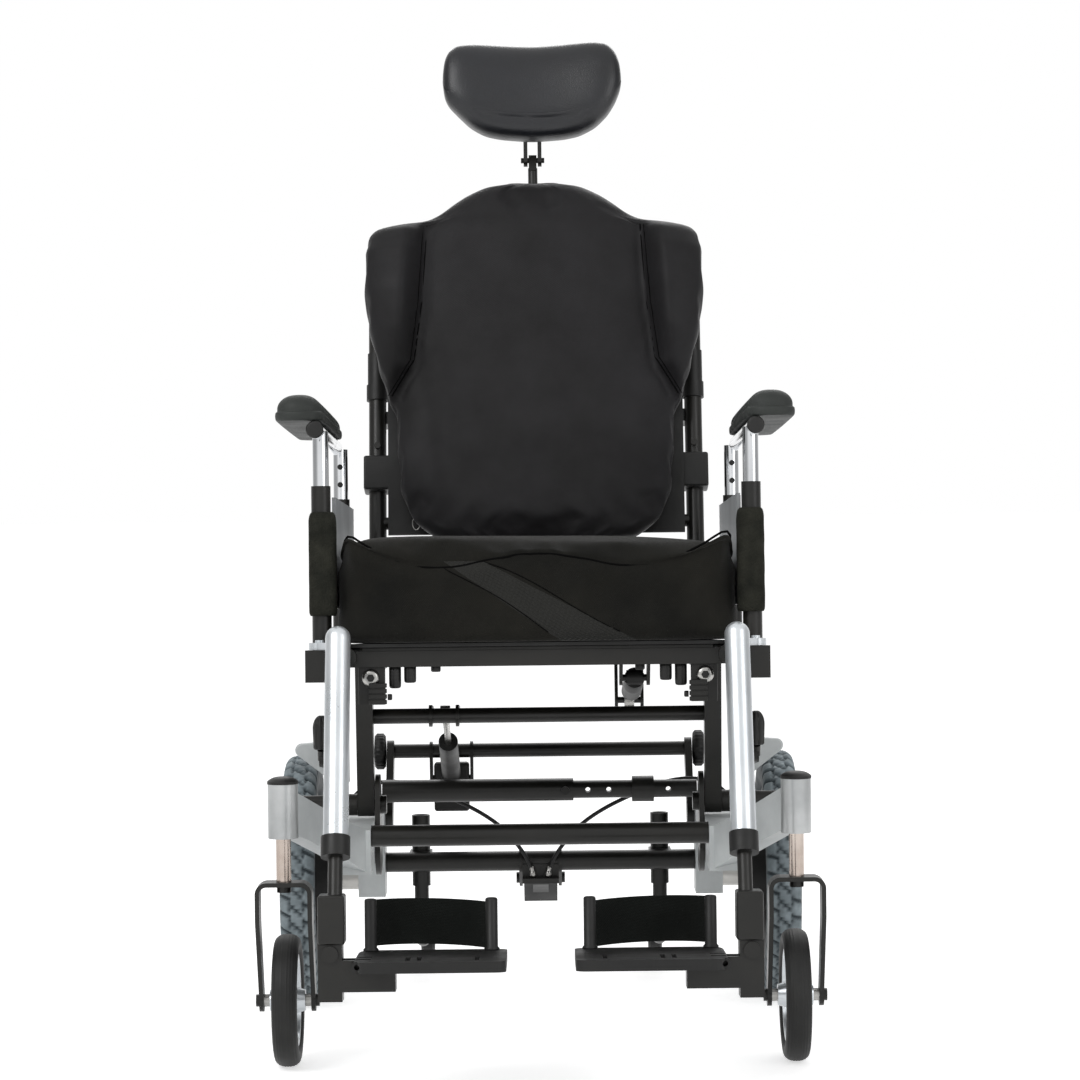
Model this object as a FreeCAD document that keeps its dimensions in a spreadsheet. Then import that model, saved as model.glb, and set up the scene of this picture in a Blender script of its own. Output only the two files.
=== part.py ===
import FreeCAD, Part
import os
from math import acos, atan2, cos, hypot, pi, radians, sin, tan

# Tilt in space wheelchair, millimetres, +Z up. The chair faces -Y and left is +X, the sitter's own left.
# The origin is on the floor, in the middle of the chair's box.
# The seat unit is drawn level, then turned back about the tilt pivot. The back unit is drawn
# upright, then turned back about the back hinge and with the seat unit about the tilt pivot.

sizes = {
    # overall plan
    "seat_width": 450,
    "rail_height": 452,
    "seat_tilt": 3,
    "back_angle": 10,
    "tilt_pivot_y": -30,
    "tilt_pivot_z": 275,
    "back_hinge_y": 165,
    "gap": 0.3,
    "fit": 0.05,
    # rear wheels
    "rear_wheel_radius": 156,
    "rear_tyre_width": 45,
    "rear_tyre_height": 44,
    "rear_axle_y": 230,
    "rear_track_half": 300,
    "rear_axle_radius": 8,
    "rear_hub_radius": 22,
    "drum_radius": 48,
    "rim_width": 32,
    "spoke_count": 5,
    # casters
    "caster_radius": 75,
    "caster_tyre_width": 29,
    "caster_tyre_height": 22,
    "caster_x": 288,
    "caster_y": -285,
    "caster_trail": 40,
    "caster_hub_radius": 16,
    "caster_axle_radius": 4,
    "fork_width": 64,
    "fork_bar": 5,
    "fork_depth": 30,
    "fork_top": 215,
    "fork_bend": 13,
    "stem_radius": 8.5,
    "housing_radius": 17,
    "housing_bottom": 264,
    "housing_top": 325,
    # base frame
    "rail_inner": 196,
    "base_rail_width": 34,
    "base_rail_bottom": 207,
    "base_rail_height": 52,
    "base_rail_front": -165,
    "base_rail_back": 262,
    "front_tube_y": -148,
    "front_tube_z": 250,
    "front_tube_radius": 12.5,
    "width_tube_y": 150,
    "width_tube_z": 273,
    "width_tube_radius": 14,
    "width_tube_inner_radius": 11,
    "upper_tube_y": 300,
    "upper_tube_z": 310,
    "upper_tube_radius": 9,
    "axle_tube_z": 175,
    "axle_tube_radius": 12.5,
    "pivot_plate": 6,
    "pivot_bolt_radius": 6,
    "down_bar_width": 20,
    "down_bar_depth": 28,
    # seat frame
    "seat_rail_radius": 11,
    "seat_rail_front": -300,
    "seat_rail_back": 138,
    "seat_cross_z": 380,
    "seat_cross_radius": 9,
    "seat_plate_thickness": 4,
    "cushion_depth": 460,
    "cushion_front": -315,
    "cushion_height": 113,
    "cushion_corner": 38,
    # armrests
    "arm_post_x": 243,
    "arm_post_radius": 9,
    "arm_front_y": -270,
    "arm_back_y": 131,
    "arm_socket_radius": 11,
    "arm_socket_top": 646,
    "arm_post_bottom": 530,
    "arm_tube_z": 708,
    "arm_tube_x": 247,
    "arm_pad_x": 265,
    "arm_pad_width": 56,
    "arm_pad_length": 420,
    "arm_pad_height": 31,
    "arm_pad_front": -317,
    "guard_thickness": 4,
    "foam_width": 31,
    "foam_depth": 36,
    "foam_bottom": 500,
    "foam_height": 116,
    # legrests
    "swing_x": 244,
    "swing_y": -303,
    "swing_pin_radius": 5,
    "block_width": 32,
    "block_depth": 58,
    "block_height": 36,
    "hanger_x": 221,
    "hanger_radius": 14,
    "hanger_bore": 10,
    "hanger_top_y": -346,
    "hanger_top_z": 474,
    "hanger_bottom_y": -425,
    "hanger_bottom_z": 259,
    "collar_radius": 16,
    "collar_length": 23,
    "foot_tube_radius": 8,
    "footplate_inner": 37,
    "footplate_outer": 202,
    "footplate_top": 130,
    "footplate_thickness": 12,
    "footplate_front": -502,
    "footplate_length": 150,
    "strap_height": 54,
    "strap_bottom": 131,
    "strap_sag": 46,
    # back unit
    "back_post_x": 200,
    "back_post_radius": 11,
    "back_post_top": 985,
    "post_mark_z": 934,
    "post_mark_width": 1,
    "post_mark_depth": 0.6,
    "back_cushion_face": 85,
    "back_cushion_back": 139,
    "shell_thickness": 4,
    "push_bar_radius": 9,
    "push_bar_x": 172,
    "push_bar_y": 196,
    "push_bar_top": 950,
    "push_bar_reach": 105,
    "grip_radius": 14,
    "headrest_width": 224,
    "headrest_height": 127,
    "headrest_depth": 62,
    "headrest_bottom": 1102,
    "headrest_stem_radius": 6,
    "headrest_stem_y": 152,
    "head_hinge_z": 1093,
    # anti-tips, brakes and springs
    "anti_tip_x": 152,
    "anti_tip_radius": 9,
    "anti_tip_wheel_radius": 25,
    "anti_tip_wheel_y": 484.6,
    "anti_tip_wheel_z": 48,
    "lock_shoe_gap": 14,
    "lock_shoe_radius": 7,
    "lock_arm": 60,
    "cable_radius": 2.5,
    "pedal_width": 43,
    "pedal_y": 262,
    "pedal_z": 150,
    "spring_x": 113,
    "spring_radius": 12,
    "spring_rod_radius": 4,
    "spring_pin_radius": 4,
    "spring_slack": 2.6,
}

doc = FreeCAD.newDocument("wheelchair")
sheet = doc.addObject("Spreadsheet::Sheet", "dims")
for row, (alias, value) in enumerate(sizes.items(), 1):
    sheet.set(f"A{row}", alias)
    sheet.set(f"B{row}", str(value))
    sheet.setAlias(f"B{row}", alias)
doc.recompute()


class Dims:
    def __getattr__(self, alias):
        return float(sheet.get(alias))


d = Dims()
V = FreeCAD.Vector
nodes = {}
sides = {"left": 1, "right": -1}


# Frames of the seat unit and of the back unit
def turned_about(y, z, angle):
    return FreeCAD.Placement(V(), FreeCAD.Rotation(V(1, 0, 0), angle), V(0, y, z))


seat_place = turned_about(d.tilt_pivot_y, d.tilt_pivot_z, -d.seat_tilt)
back_place = seat_place.multiply(turned_about(d.back_hinge_y, d.rail_height, -d.back_angle))


# Small tools that make one piece each
def bind(obj, prop, size):
    """Gives a property its size: the alias of a cell, or a number worked out from cells."""
    if isinstance(size, str):
        obj.setExpression(prop, f"dims.{size}")
        return
    setattr(obj, prop, size)


def rod(start, end, radius, name="rod"):
    """Round bar between two points."""
    first, last = V(*start), V(*end)
    bar = doc.addObject("Part::Cylinder", name)
    bind(bar, "Radius", radius)
    bar.Height = (last - first).Length
    bar.Placement = FreeCAD.Placement(first, FreeCAD.Rotation(V(0, 0, 1), last - first))
    return bar


def cross_rod(x0, x1, y, z, radius, name="rod"):
    """Round bar along X."""
    return rod((min(x0, x1), y, z), (max(x0, x1), y, z), radius, name)


def block(x, y, z, edge=0, name="block"):
    """Box between two limits on each axis, with its edges rounded where edge is not 0."""
    low = V(min(x), min(y), min(z))
    high = V(max(x), max(y), max(z))
    box = doc.addObject("Part::Box", name)
    box.Length, box.Width, box.Height = high - low
    box.Placement.Base = low
    if not edge:
        return box
    doc.recompute()
    rounded = doc.addObject("Part::Fillet", name + "_rounded")
    rounded.Base = box
    rounded.Edges = [(i + 1, edge, edge) for i in range(12)]
    return rounded


def ball(x, y, z, radius, name="ball"):
    sphere = doc.addObject("Part::Sphere", name)
    bind(sphere, "Radius", radius)
    sphere.Placement.Base = V(x, y, z)
    return sphere


def fused(*parts, name="weldment"):
    weld = doc.addObject("Part::MultiFuse", name)
    weld.Shapes = list(parts)
    return weld


def cut(base, *tools, name="cut"):
    result = doc.addObject("Part::Cut", name)
    result.Base = base
    result.Tool = tools[0] if len(tools) == 1 else fused(*tools, name=name + "_tools")
    return result


def shared(base, tool, name="shared"):
    result = doc.addObject("Part::Common", name)
    result.Base = base
    result.Tool = tool
    return result


def node(label, *parts, place=None):
    """One sub-part: its separate solids under its own name."""
    group = doc.addObject("Part::Compound", label)
    group.Label = label
    group.Links = list(parts)
    if place:
        group.Placement = place
    nodes[label] = group
    return group


def segments(points):
    """Closed outline through points; a triple of points in the list is an arc through its middle one."""
    out = []
    last = points[0] if len(points[0]) == 2 and not isinstance(points[0][0], tuple) else points[0][2]
    start = last
    for step in points[1:]:
        if isinstance(step[0], tuple):
            out.append(Part.Arc(V(*last, 0), V(*step[0], 0), V(*step[1], 0)))
            last = step[1]
            continue
        out.append(Part.LineSegment(V(*last, 0), V(*step, 0)))
        last = step
    if hypot(last[0] - start[0], last[1] - start[1]) > 1e-6:
        out.append(Part.LineSegment(V(*last, 0), V(*start, 0)))
    return out


def sketch_on(body, role, outline, holes=()):
    sketch = body.newObject("Sketcher::SketchObject", "outline")
    plane = next(p for p in body.Origin.OriginFeatures if p.Role == role)
    sketch.AttachmentSupport = (plane, "")
    sketch.MapMode = "FlatFace"
    for piece in outline:
        sketch.addGeometry(piece, False)
    for y, z, radius in holes:
        sketch.addGeometry(Part.Circle(V(y, z, 0), V(0, 0, 1), radius), False)
    return sketch


def side_plate(outline, x0, x1, holes=(), name="plate"):
    """Flat plate drawn in the YZ plane, between two X places."""
    body = doc.addObject("PartDesign::Body", name)
    pad = body.newObject("PartDesign::Pad", "pad")
    pad.Profile = sketch_on(body, "YZ_Plane", outline, holes)
    pad.Length = abs(x1 - x0)
    body.Tip = pad
    body.Placement.Base = V(min(x0, x1), 0, 0)
    return body


def front_plate(outline, y0, y1, name="plate"):
    """Flat plate drawn in the XZ plane, between two Y places."""
    feature = doc.addObject("Part::Feature", name)
    wire = wire_at(outline, FreeCAD.Placement(V(0, y0, 0), FreeCAD.Rotation(V(1, 0, 0), 90)))
    feature.Shape = Part.Face(wire).extrude(V(0, y1 - y0, 0))
    return feature


def flat_plate(outline, z0, z1, holes=(), name="plate"):
    """Flat plate drawn in the XY plane, between two heights."""
    body = doc.addObject("PartDesign::Body", name)
    pad = body.newObject("PartDesign::Pad", "pad")
    pad.Profile = sketch_on(body, "XY_Plane", outline, holes)
    pad.Length = abs(z1 - z0)
    body.Tip = pad
    body.Placement.Base = V(0, 0, min(z0, z1))
    return body


def turned(outline, place, name="turned"):
    """Round piece: an outline of radius and length, turned about its own axis."""
    body = doc.addObject("PartDesign::Body", name)
    sketch = sketch_on(body, "XZ_Plane", outline)
    turn = body.newObject("PartDesign::Revolution", "turn")
    turn.Profile = sketch
    turn.ReferenceAxis = (sketch, ["V_Axis"])
    turn.Angle = 360
    body.Tip = turn
    body.Placement = place
    return body


def along_x(x, y, z, side=1):
    return FreeCAD.Placement(V(x, y, z), FreeCAD.Rotation(V(0, 0, 1), V(side, 0, 0)))


def link_outline(y1, z1, r1, y2, z2, r2):
    """Two round ends joined by straight tangents."""
    reach = hypot(y2 - y1, z2 - z1)
    aim = atan2(z2 - z1, y2 - y1)
    spread = acos((r1 - r2) / reach)

    def at(y, z, r, angle):
        return (y + r * cos(angle), z + r * sin(angle))

    start = at(y1, z1, r1, aim + spread)
    far = at(y2, z2, r2, aim + spread)
    near = at(y2, z2, r2, aim - spread)
    back = at(y1, z1, r1, aim - spread)
    return segments([start, far, (at(y2, z2, r2, aim), near), back, (at(y1, z1, r1, aim + pi), start)])


def link(x0, x1, y1, z1, r1, y2, z2, r2, holes=(), name="link"):
    return side_plate(link_outline(y1, z1, r1, y2, z2, r2), x0, x1, holes, name)


def bent_path(points, bend=None):
    """Straight runs joined by tangent arcs; without a bend the arcs are as large as their runs allow."""
    corners = [V(*p) for p in points]
    edges, start, radii = [], corners[0], []
    for before, corner, after in zip(corners, corners[1:], corners[2:]):
        run_in, run_out = corner - before, after - corner
        turn = run_in.getAngle(run_out)
        radius = bend or 0.45 * min(run_in.Length, run_out.Length) / tan(turn / 2)
        back = radius * tan(turn / 2)
        to_corner, onward = run_in.normalize(), run_out.normalize()
        enter, leave = corner - to_corner * back, corner + onward * back
        inward = (onward - to_corner).normalize()
        middle = corner + inward * (radius / cos(turn / 2) - radius)
        edges.append(Part.LineSegment(start, enter).toShape())
        edges.append(Part.Arc(enter, middle, leave).toShape())
        radii.append(radius)
        start = leave
    edges.append(Part.LineSegment(start, corners[-1]).toShape())
    return Part.Wire(edges), radii


def pipe(points, radius, bend=None, name="pipe"):
    """Bent tube along a route."""
    path, radii = bent_path(points, bend)
    begin = path.Edges[0]
    ring = Part.Wire(Part.Circle(V(*points[0]), begin.tangentAt(begin.FirstParameter), radius).toShape())
    shape = path.makePipeShell([ring], True, False)
    expected = pi * radius**2 * path.Length
    share = shape.Volume / expected
    print(f"{name}: length {path.Length:.0f}, least radius {min(radii):.1f}, volume {share:.4f}")
    feature = doc.addObject("Part::Feature", name)
    feature.Shape = shape
    return feature


def lofted(wires, name, ruled=False):
    feature = doc.addObject("Part::Feature", name)
    feature.Shape = Part.makeLoft(wires, True, ruled)
    return feature


def wire_at(outline, place):
    """Outline drawn in XY, moved to its place."""
    wire = Part.Wire([piece.toShape() for piece in outline])
    wire.Placement = place
    return wire


def rounded_rectangle(x0, x1, y0, y1, corner, sag=0):
    """Rounded rectangle whose sides are arcs drawn in by sag."""
    k = corner * (1 - cos(pi / 4))
    xm, ym = (x0 + x1) / 2, (y0 + y1) / 2

    def side(middle, end):
        return (middle, end) if sag else end

    return segments([
        (x0 + corner, y0),
        side((xm, y0 + sag), (x1 - corner, y0)),
        ((x1 - k, y0 + k), (x1, y0 + corner)),
        side((x1 - sag, ym), (x1, y1 - corner)),
        ((x1 - k, y1 - k), (x1 - corner, y1)),
        side((xm, y1 - sag), (x0 + corner, y1)),
        ((x0 + k, y1 - k), (x0, y1 - corner)),
        side((x0 + sag, ym), (x0, y0 + corner)),
        ((x0 + k, y0 + k), (x0 + corner, y0)),
    ])


# Rear wheels: spoked rims with hub and brake drum, block tyres, axles with drum back plates
def rear_wheel(name, side):
    x = side * d.rear_track_half
    place = along_x(x, d.rear_axle_y, d.rear_wheel_radius, side)
    half = d.rear_tyre_width / 2
    bead = d.rear_wheel_radius - d.rear_tyre_height
    shoulder = d.rear_wheel_radius - 9
    tyre = turned(segments([
        (bead, -half + 8),
        ((bead + d.rear_tyre_height / 2 - 4, -half), (shoulder, -half + 2)),
        ((d.rear_wheel_radius - 2, -half + 6), (d.rear_wheel_radius, -half + 12)),
        (d.rear_wheel_radius, half - 12),
        ((d.rear_wheel_radius - 2, half - 6), (shoulder, half - 2)),
        ((bead + d.rear_tyre_height / 2 - 4, half), (bead, half - 8)),
    ]), place, "tyre")
    node(f"rear_tyre_{name}", tyre)
    rim_half = d.rim_width / 2
    rim_out = bead - d.gap
    rim = turned(segments([
        (rim_out - 12, -rim_half + 5), (rim_out - 5, -rim_half), (rim_out, -rim_half),
        (rim_out, rim_half), (rim_out - 5, rim_half), (rim_out - 12, rim_half - 5),
    ]), place, "rim")
    hub_bore = d.rear_axle_radius + d.fit
    hub = turned(segments([
        (hub_bore, -10), (d.rear_hub_radius, -10), (d.rear_hub_radius, 16), (hub_bore, 16),
    ]), place, "hub")
    drum = turned(segments([
        (hub_bore, -10), (d.rear_hub_radius, -10), (d.drum_radius, -16), (d.drum_radius, -34),
        (d.drum_radius - 5, -34), (d.drum_radius - 5, -20), (d.rear_hub_radius, -16), (hub_bore, -16),
    ]), place, "drum")
    spokes = []
    for i in range(int(d.spoke_count)):
        angle = 2 * pi * i / d.spoke_count + pi / 2
        inner, outer = d.rear_hub_radius - 4, rim_out - 8
        root = (x, d.rear_axle_y + inner * cos(angle), d.rear_wheel_radius + inner * sin(angle))
        tip = (x, d.rear_axle_y + outer * cos(angle), d.rear_wheel_radius + outer * sin(angle))
        spokes.append(rod(root, tip, 8, "spoke"))
    node(f"rear_wheel_{name}", fused(rim, hub, drum, *spokes, name="spoked_wheel"))


def rear_axles():
    solids = []
    for side in sides.values():
        x = side * d.rear_track_half
        inner = d.rail_inner + d.base_rail_width
        stub = cross_rod(side * (inner + d.gap), x + side * 18, d.rear_axle_y, d.rear_wheel_radius,
                         d.rear_axle_radius)
        cap = cross_rod(x + side * 16.4, x + side * 21, d.rear_axle_y, d.rear_wheel_radius, 13)
        back_plate = cross_rod(x - side * 38, x - side * 34.6, d.rear_axle_y, d.rear_wheel_radius,
                               d.drum_radius)
        spacer = cross_rod(side * (inner + d.gap), x - side * 37, d.rear_axle_y, d.rear_wheel_radius, 15)
        solids.append(fused(stub, cap, back_plate, spacer, name="stub_axle"))
    node("rear_axles", *solids)


# Casters: housing with its cap, fork with stem and axle, rim and tyre
def caster(name, side):
    x = side * d.caster_x
    axle_y = d.caster_y + d.caster_trail
    place = along_x(x, axle_y, d.caster_radius)
    half = d.caster_tyre_width / 2
    bead = d.caster_radius - d.caster_tyre_height
    tyre = turned(segments([
        (bead, -half + 1.5), (d.caster_radius - 9, -half),
        ((d.caster_radius - 2.5, -half + 4), (d.caster_radius, -half + 9)),
        (d.caster_radius, half - 9),
        ((d.caster_radius - 2.5, half - 4), (d.caster_radius - 9, half)),
        (bead, half - 1.5),
    ]), place, "tyre")
    node(f"caster_tyre_{name}", tyre)
    rim_out = bead - d.gap
    bore = d.caster_axle_radius + d.fit
    hub_half = 20
    rim = turned(segments([
        (bore, -hub_half), (d.caster_hub_radius - 4, -hub_half), (d.caster_hub_radius, -4),
        (rim_out - 10, -4), (rim_out - 6, -half + 3), (rim_out, -half + 3),
        (rim_out, half - 3), (rim_out - 6, half - 3), (rim_out - 10, 4),
        (d.caster_hub_radius, 4), (d.caster_hub_radius - 4, hub_half), (bore, hub_half),
    ]), place, "rim")
    node(f"caster_rim_{name}", rim)
    outer = d.fork_width / 2
    inner = outer - d.fork_bar
    top = d.fork_top
    low = d.caster_radius - 20
    bend = d.fork_bend
    out_k = bend * (1 - cos(pi / 4))
    in_k = d.fork_bar + (bend - d.fork_bar) * (1 - cos(pi / 4))
    bent_bar = front_plate(segments([
        (x - outer, low), (x - outer, top - bend),
        ((x - outer + out_k, top - out_k), (x - outer + bend, top)),
        (x + outer - bend, top),
        ((x + outer - out_k, top - out_k), (x + outer, top - bend)),
        (x + outer, low), (x + inner, low), (x + inner, top - bend),
        ((x + outer - in_k, top - in_k), (x + outer - bend, top - d.fork_bar)),
        (x - outer + bend, top - d.fork_bar),
        ((x - outer + in_k, top - in_k), (x - inner, top - bend)),
        (x - inner, low),
    ]), d.caster_y - d.fork_depth, axle_y + d.fork_depth, name="bent_bar")
    side_view = side_plate(segments([
        (d.caster_y - d.fork_depth / 2, top),
        (d.caster_y - d.fork_depth / 2, top - 45),
        (axle_y - 12, d.caster_radius + 4),
        ((axle_y, d.caster_radius - 12.6), (axle_y + 12, d.caster_radius + 4)),
        (d.caster_y + d.fork_depth / 2, top - 45),
        (d.caster_y + d.fork_depth / 2, top),
    ]), x - outer, x + outer, name="fork_side")
    fork = cut(shared(bent_bar, side_view, name="fork_bar"),
               rod((x, d.caster_y, top - 20), (x, d.caster_y, top + 5), d.stem_radius - 2, "stem_hole"),
               cross_rod(x - 40, x + 40, axle_y, d.caster_radius, d.caster_axle_radius, "axle_hole"),
               name="fork")
    stem = fused(
        rod((x, d.caster_y, top), (x, d.caster_y, d.housing_top - 6), "stem_radius", "stem"),
        rod((x, d.caster_y, top - 12), (x, d.caster_y, top), d.stem_radius - 2, "stem_end"),
        name="stem")
    nut = cut(rod((x, d.caster_y, top - 12), (x, d.caster_y, top - d.fork_bar), 8, "nut"),
              rod((x, d.caster_y, top - 13), (x, d.caster_y, top - 4), d.stem_radius - 2, "nut_hole"),
              name="stem_nut")
    axle = fused(
        cross_rod(x - outer - 4, x + outer + 4, axle_y, d.caster_radius, "caster_axle_radius", "axle"),
        cross_rod(x - outer, x - outer - 4, axle_y, d.caster_radius, 7, "head"),
        cross_rod(x + outer, x + outer + 4, axle_y, d.caster_radius, 7, "nut"),
        cross_rod(x - inner, x - hub_half - d.gap, axle_y, d.caster_radius, 7, "spacer"),
        cross_rod(x + inner, x + hub_half + d.gap, axle_y, d.caster_radius, 7, "spacer"),
        name="axle_bolt")
    node(f"caster_fork_{name}", fork, stem, nut, axle)


def caster_housings():
    housings, caps = [], []
    for side in sides.values():
        x = side * d.caster_x
        tube = rod((x, d.caster_y, d.housing_bottom), (x, d.caster_y, d.housing_top), "housing_radius",
                   "tube")
        bore = rod((x, d.caster_y, d.housing_bottom - 1), (x, d.caster_y, d.housing_top - 5.7),
                   d.stem_radius + d.fit, "bore")
        housings.append(cut(tube, bore, name="housing"))
        place = FreeCAD.Placement(V(x, d.caster_y, d.housing_top), FreeCAD.Rotation())
        caps.append(turned(segments([
            (0, 0), (d.housing_radius + 0.5, 0), (d.housing_radius + 0.5, 3),
            ((d.housing_radius * 0.72, 6.5), (3, 8)), (0, 8),
        ]), place, "cap"))
    node("caster_housings", *housings)
    node("caster_housing_caps", *caps)


# Base: cast side rails with their arms to the casters, cross tubes, pivot plates
def base_side_rails():
    rails = []
    top = d.base_rail_bottom + d.base_rail_height
    inner, outer = d.rail_inner, d.rail_inner + d.base_rail_width
    for side in sides.values():
        beam = block((side * inner, side * outer), (d.base_rail_front, d.base_rail_back),
                     (d.base_rail_bottom, top), name="beam")
        middle = (inner + outer) / 2
        front = V(side * middle, d.base_rail_front + 12, (d.base_rail_bottom + top) / 2)
        end_z = (d.housing_bottom + d.housing_top) / 2
        end = V(side * d.caster_x, d.caster_y, end_z)
        way = end - front
        arm = lofted([
            section(front, way, d.base_rail_width - 2, d.base_rail_height - 2),
            section(front + way * 0.35, way, d.base_rail_width - 4, d.base_rail_height - 8),
            section(front + way * 0.99, way, 26, 48),
        ], "arm", ruled=True)
        foot = block((side * inner, side * outer), (d.rear_axle_y - 24, d.base_rail_back),
                     (d.rear_wheel_radius - 22, d.base_rail_bottom + 4), name="axle_foot")
        seat = rod((side * d.caster_x, d.caster_y, 200), (side * d.caster_x, d.caster_y, 360),
                   d.housing_radius, "housing_seat")
        rails.append(cut(fused(beam, arm, foot, name="casting"), seat, name="side_rail"))
    node("base_side_rails", *rails)


def section(centre, way, width, height):
    """Upright rectangle across a direction of travel."""
    across = V(-way.y, way.x, 0).normalize() * (width / 2)
    rise = V(0, 0, height / 2)
    corners = [centre - across - rise, centre + across - rise, centre + across + rise, centre - across + rise]
    return Part.makePolygon(corners + corners[:1])


def base_cross_tubes():
    inner = d.rail_inner - d.gap
    front = cross_rod(-inner, inner, d.front_tube_y, d.front_tube_z, "front_tube_radius", "front_tube")
    wide = cross_rod(-inner, 42, d.width_tube_y, d.width_tube_z, "width_tube_radius", "width_tube")
    slim = cross_rod(42, inner, d.width_tube_y, d.width_tube_z, "width_tube_inner_radius", "width_tube_inner")
    sleeve = cross_rod(115, 142, d.width_tube_y, d.width_tube_z, d.width_tube_radius + 2, "sleeve")
    holes = [
        rod((x, d.width_tube_y - 20, d.width_tube_z), (x, d.width_tube_y + 20, d.width_tube_z), 3.2, "hole")
        for x in (60, 86, 160)
    ]
    width_bolt = rod((32, d.width_tube_y - 19, d.width_tube_z), (32, d.width_tube_y + 19, d.width_tube_z), 5,
                     "width_bolt")
    telescope = cut(fused(wide, slim, sleeve, width_bolt, name="telescope_tubes"), *holes, name="telescope")
    upper_z = d.upper_tube_z
    upper = [cross_rod(-inner, inner, d.upper_tube_y, upper_z, "upper_tube_radius", "upper_tube")]
    for side in sides.values():
        upper.append(link(side * (inner - 9), side * inner,
                          d.base_rail_back - 20, d.base_rail_bottom + 24, 16,
                          d.upper_tube_y, upper_z, 14, name="upright"))
    pin_y, pin_z = d.upper_tube_y, d.upper_tube_z - 35
    for x in (-d.spring_x - 28, -d.spring_x + 24):
        upper.append(link(x, x + 4, d.upper_tube_y, upper_z, 12, pin_y, pin_z, 9, name="spring_lug"))
    upper.append(cross_rod(-d.spring_x - 28, -d.spring_x + 28, pin_y, pin_z, "spring_pin_radius",
                           "spring_pin"))
    upper_frame = fused(*upper, name="upper_frame")
    axle_parts = [cross_rod(-inner, inner, d.rear_axle_y, d.axle_tube_z, "axle_tube_radius", "axle_tube")]
    for side in sides.values():
        x = side * d.anti_tip_x
        axle_parts.append(block((x - 14, x + 14), (d.rear_axle_y + 5, d.rear_axle_y + 40),
                                (d.axle_tube_z - 12, d.axle_tube_z + 12), name="anti_tip_clamp"))
        axle_parts.append(rod((x, d.rear_axle_y + 28, 142), (x, d.rear_axle_y + 28, 232),
                              d.anti_tip_radius + 2.5, "receiver"))
    for x in (-27, 23):
        axle_parts.append(link(x, x + 4, d.rear_axle_y, d.axle_tube_z, 16, d.pedal_y, d.pedal_z, 11,
                               name="pedal_plate"))
    axle_parts.append(block((-23, 23), (d.rear_axle_y - 34, d.rear_axle_y - 10), (150, 156),
                            name="cable_stop"))
    axle_parts.append(block((-23, 23), (d.rear_axle_y - 14, d.rear_axle_y - 8), (150, 172),
                            name="cable_stop_web"))
    bores = [
        rod((s * d.anti_tip_x, d.rear_axle_y + 28, 130), (s * d.anti_tip_x, d.rear_axle_y + 28, 240),
            d.anti_tip_radius + d.fit, "receiver_bore")
        for s in sides.values()
    ]
    bores.append(cross_rod(-40, 40, d.pedal_y, d.pedal_z, 4, "pedal_pin_hole"))
    axle_frame = cut(fused(*axle_parts, name="axle_weldment"), *bores, name="axle_frame")
    node("base_cross_tubes", front, telescope, upper_frame, axle_frame, pedal_pin())


def tilt_pivot_plates():
    solids = []
    for side in sides.values():
        x0, x1 = side * (d.rail_inner - d.pivot_plate - d.gap), side * (d.rail_inner - d.gap)
        y, z = d.tilt_pivot_y, d.tilt_pivot_z
        plate = link(x0, x1, y, d.base_rail_bottom + 16, 32, y, z + 14, 22, name="pivot_plate")
        bolt = cross_rod(x0 - side * 6, side * (d.rail_inner + 30), y, z, "pivot_bolt_radius", "pivot_bolt")
        head = cross_rod(x0 - side * 7, x0, y, z, 11, "head")
        end = d.rail_inner + d.down_bar_width + 1.6
        washer = cross_rod(side * end, side * (end + 12), y, z, 13, "outer_bush")
        solids.append(fused(plate, bolt, head, washer, name="tilt_pivot"))
    node("tilt_pivots", *solids)


# Wheel locks and foot brake
def lock_points():
    """Shoe, pivot and grip of a wheel lock: the shoe moves straight towards the rear axle."""
    aim = radians(141)
    reach = d.rear_wheel_radius + d.lock_shoe_gap + d.lock_shoe_radius
    shoe = (d.rear_axle_y + reach * cos(aim), d.rear_wheel_radius + reach * sin(aim))
    pivot = (shoe[0] + d.lock_arm * sin(aim), shoe[1] - d.lock_arm * cos(aim))
    grip = (pivot[0] - 150, pivot[1] + 14)
    return shoe, pivot, grip


def wheel_locks():
    shoe, pivot, grip = lock_points()
    mounts = []
    top = d.base_rail_bottom + d.base_rail_height
    x0, x1 = d.rail_inner + d.base_rail_width + 20, d.rail_inner + d.base_rail_width + 26
    for name, side in sides.items():
        mount = fused(
            block((side * (d.rail_inner + 6), side * x1), (pivot[0] - 16, pivot[0] + 16), (top, top + 7),
                  name="foot"),
            link(side * x0, side * x1, pivot[0], top + 16, 16, *pivot, 12, name="cheek"),
            cross_rod(side * x0, side * (x1 + 10), *pivot, 5, "pivot_pin"),
            cross_rod(side * (x1 + 8), side * (x1 + 10), *pivot, 9, "pivot_head"),
            name="lock_mount")
        mounts.append(mount)
        a, b = x1 + 1, x1 + 7
        arm = fused(
            link(side * a, side * b, *pivot, 11, *shoe, 9, name="shoe_arm"),
            link(side * a, side * b, *pivot, 11, grip[0], grip[1], 8, name="grip_arm"),
            cross_rod(side * a, side * (d.rear_track_half + 15), *shoe, "lock_shoe_radius", "shoe"),
            rod((side * (a + 3), grip[0], grip[1]), (side * (a + 3), grip[0] - 4, grip[1] + 12), 5, "neck"),
            name="lock_arm")
        lever = cut(arm, cross_rod(side * (a - 2), side * (b + 2), *pivot, 5 + d.fit, "bore"),
                    name="lock_lever")
        handle = turned(segments([
            (0, 0), (8, 0), (9.5, 6), (9.5, 26), ((7.6, 34), (3, 38)), (0, 38),
        ]), FreeCAD.Placement(V(side * (a + 3), grip[0] - 4, grip[1] + 13.8), FreeCAD.Rotation()), "handle")
        node(f"wheel_lock_lever_{name}", lever, handle)
    node("wheel_lock_mounts", *mounts)


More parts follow.
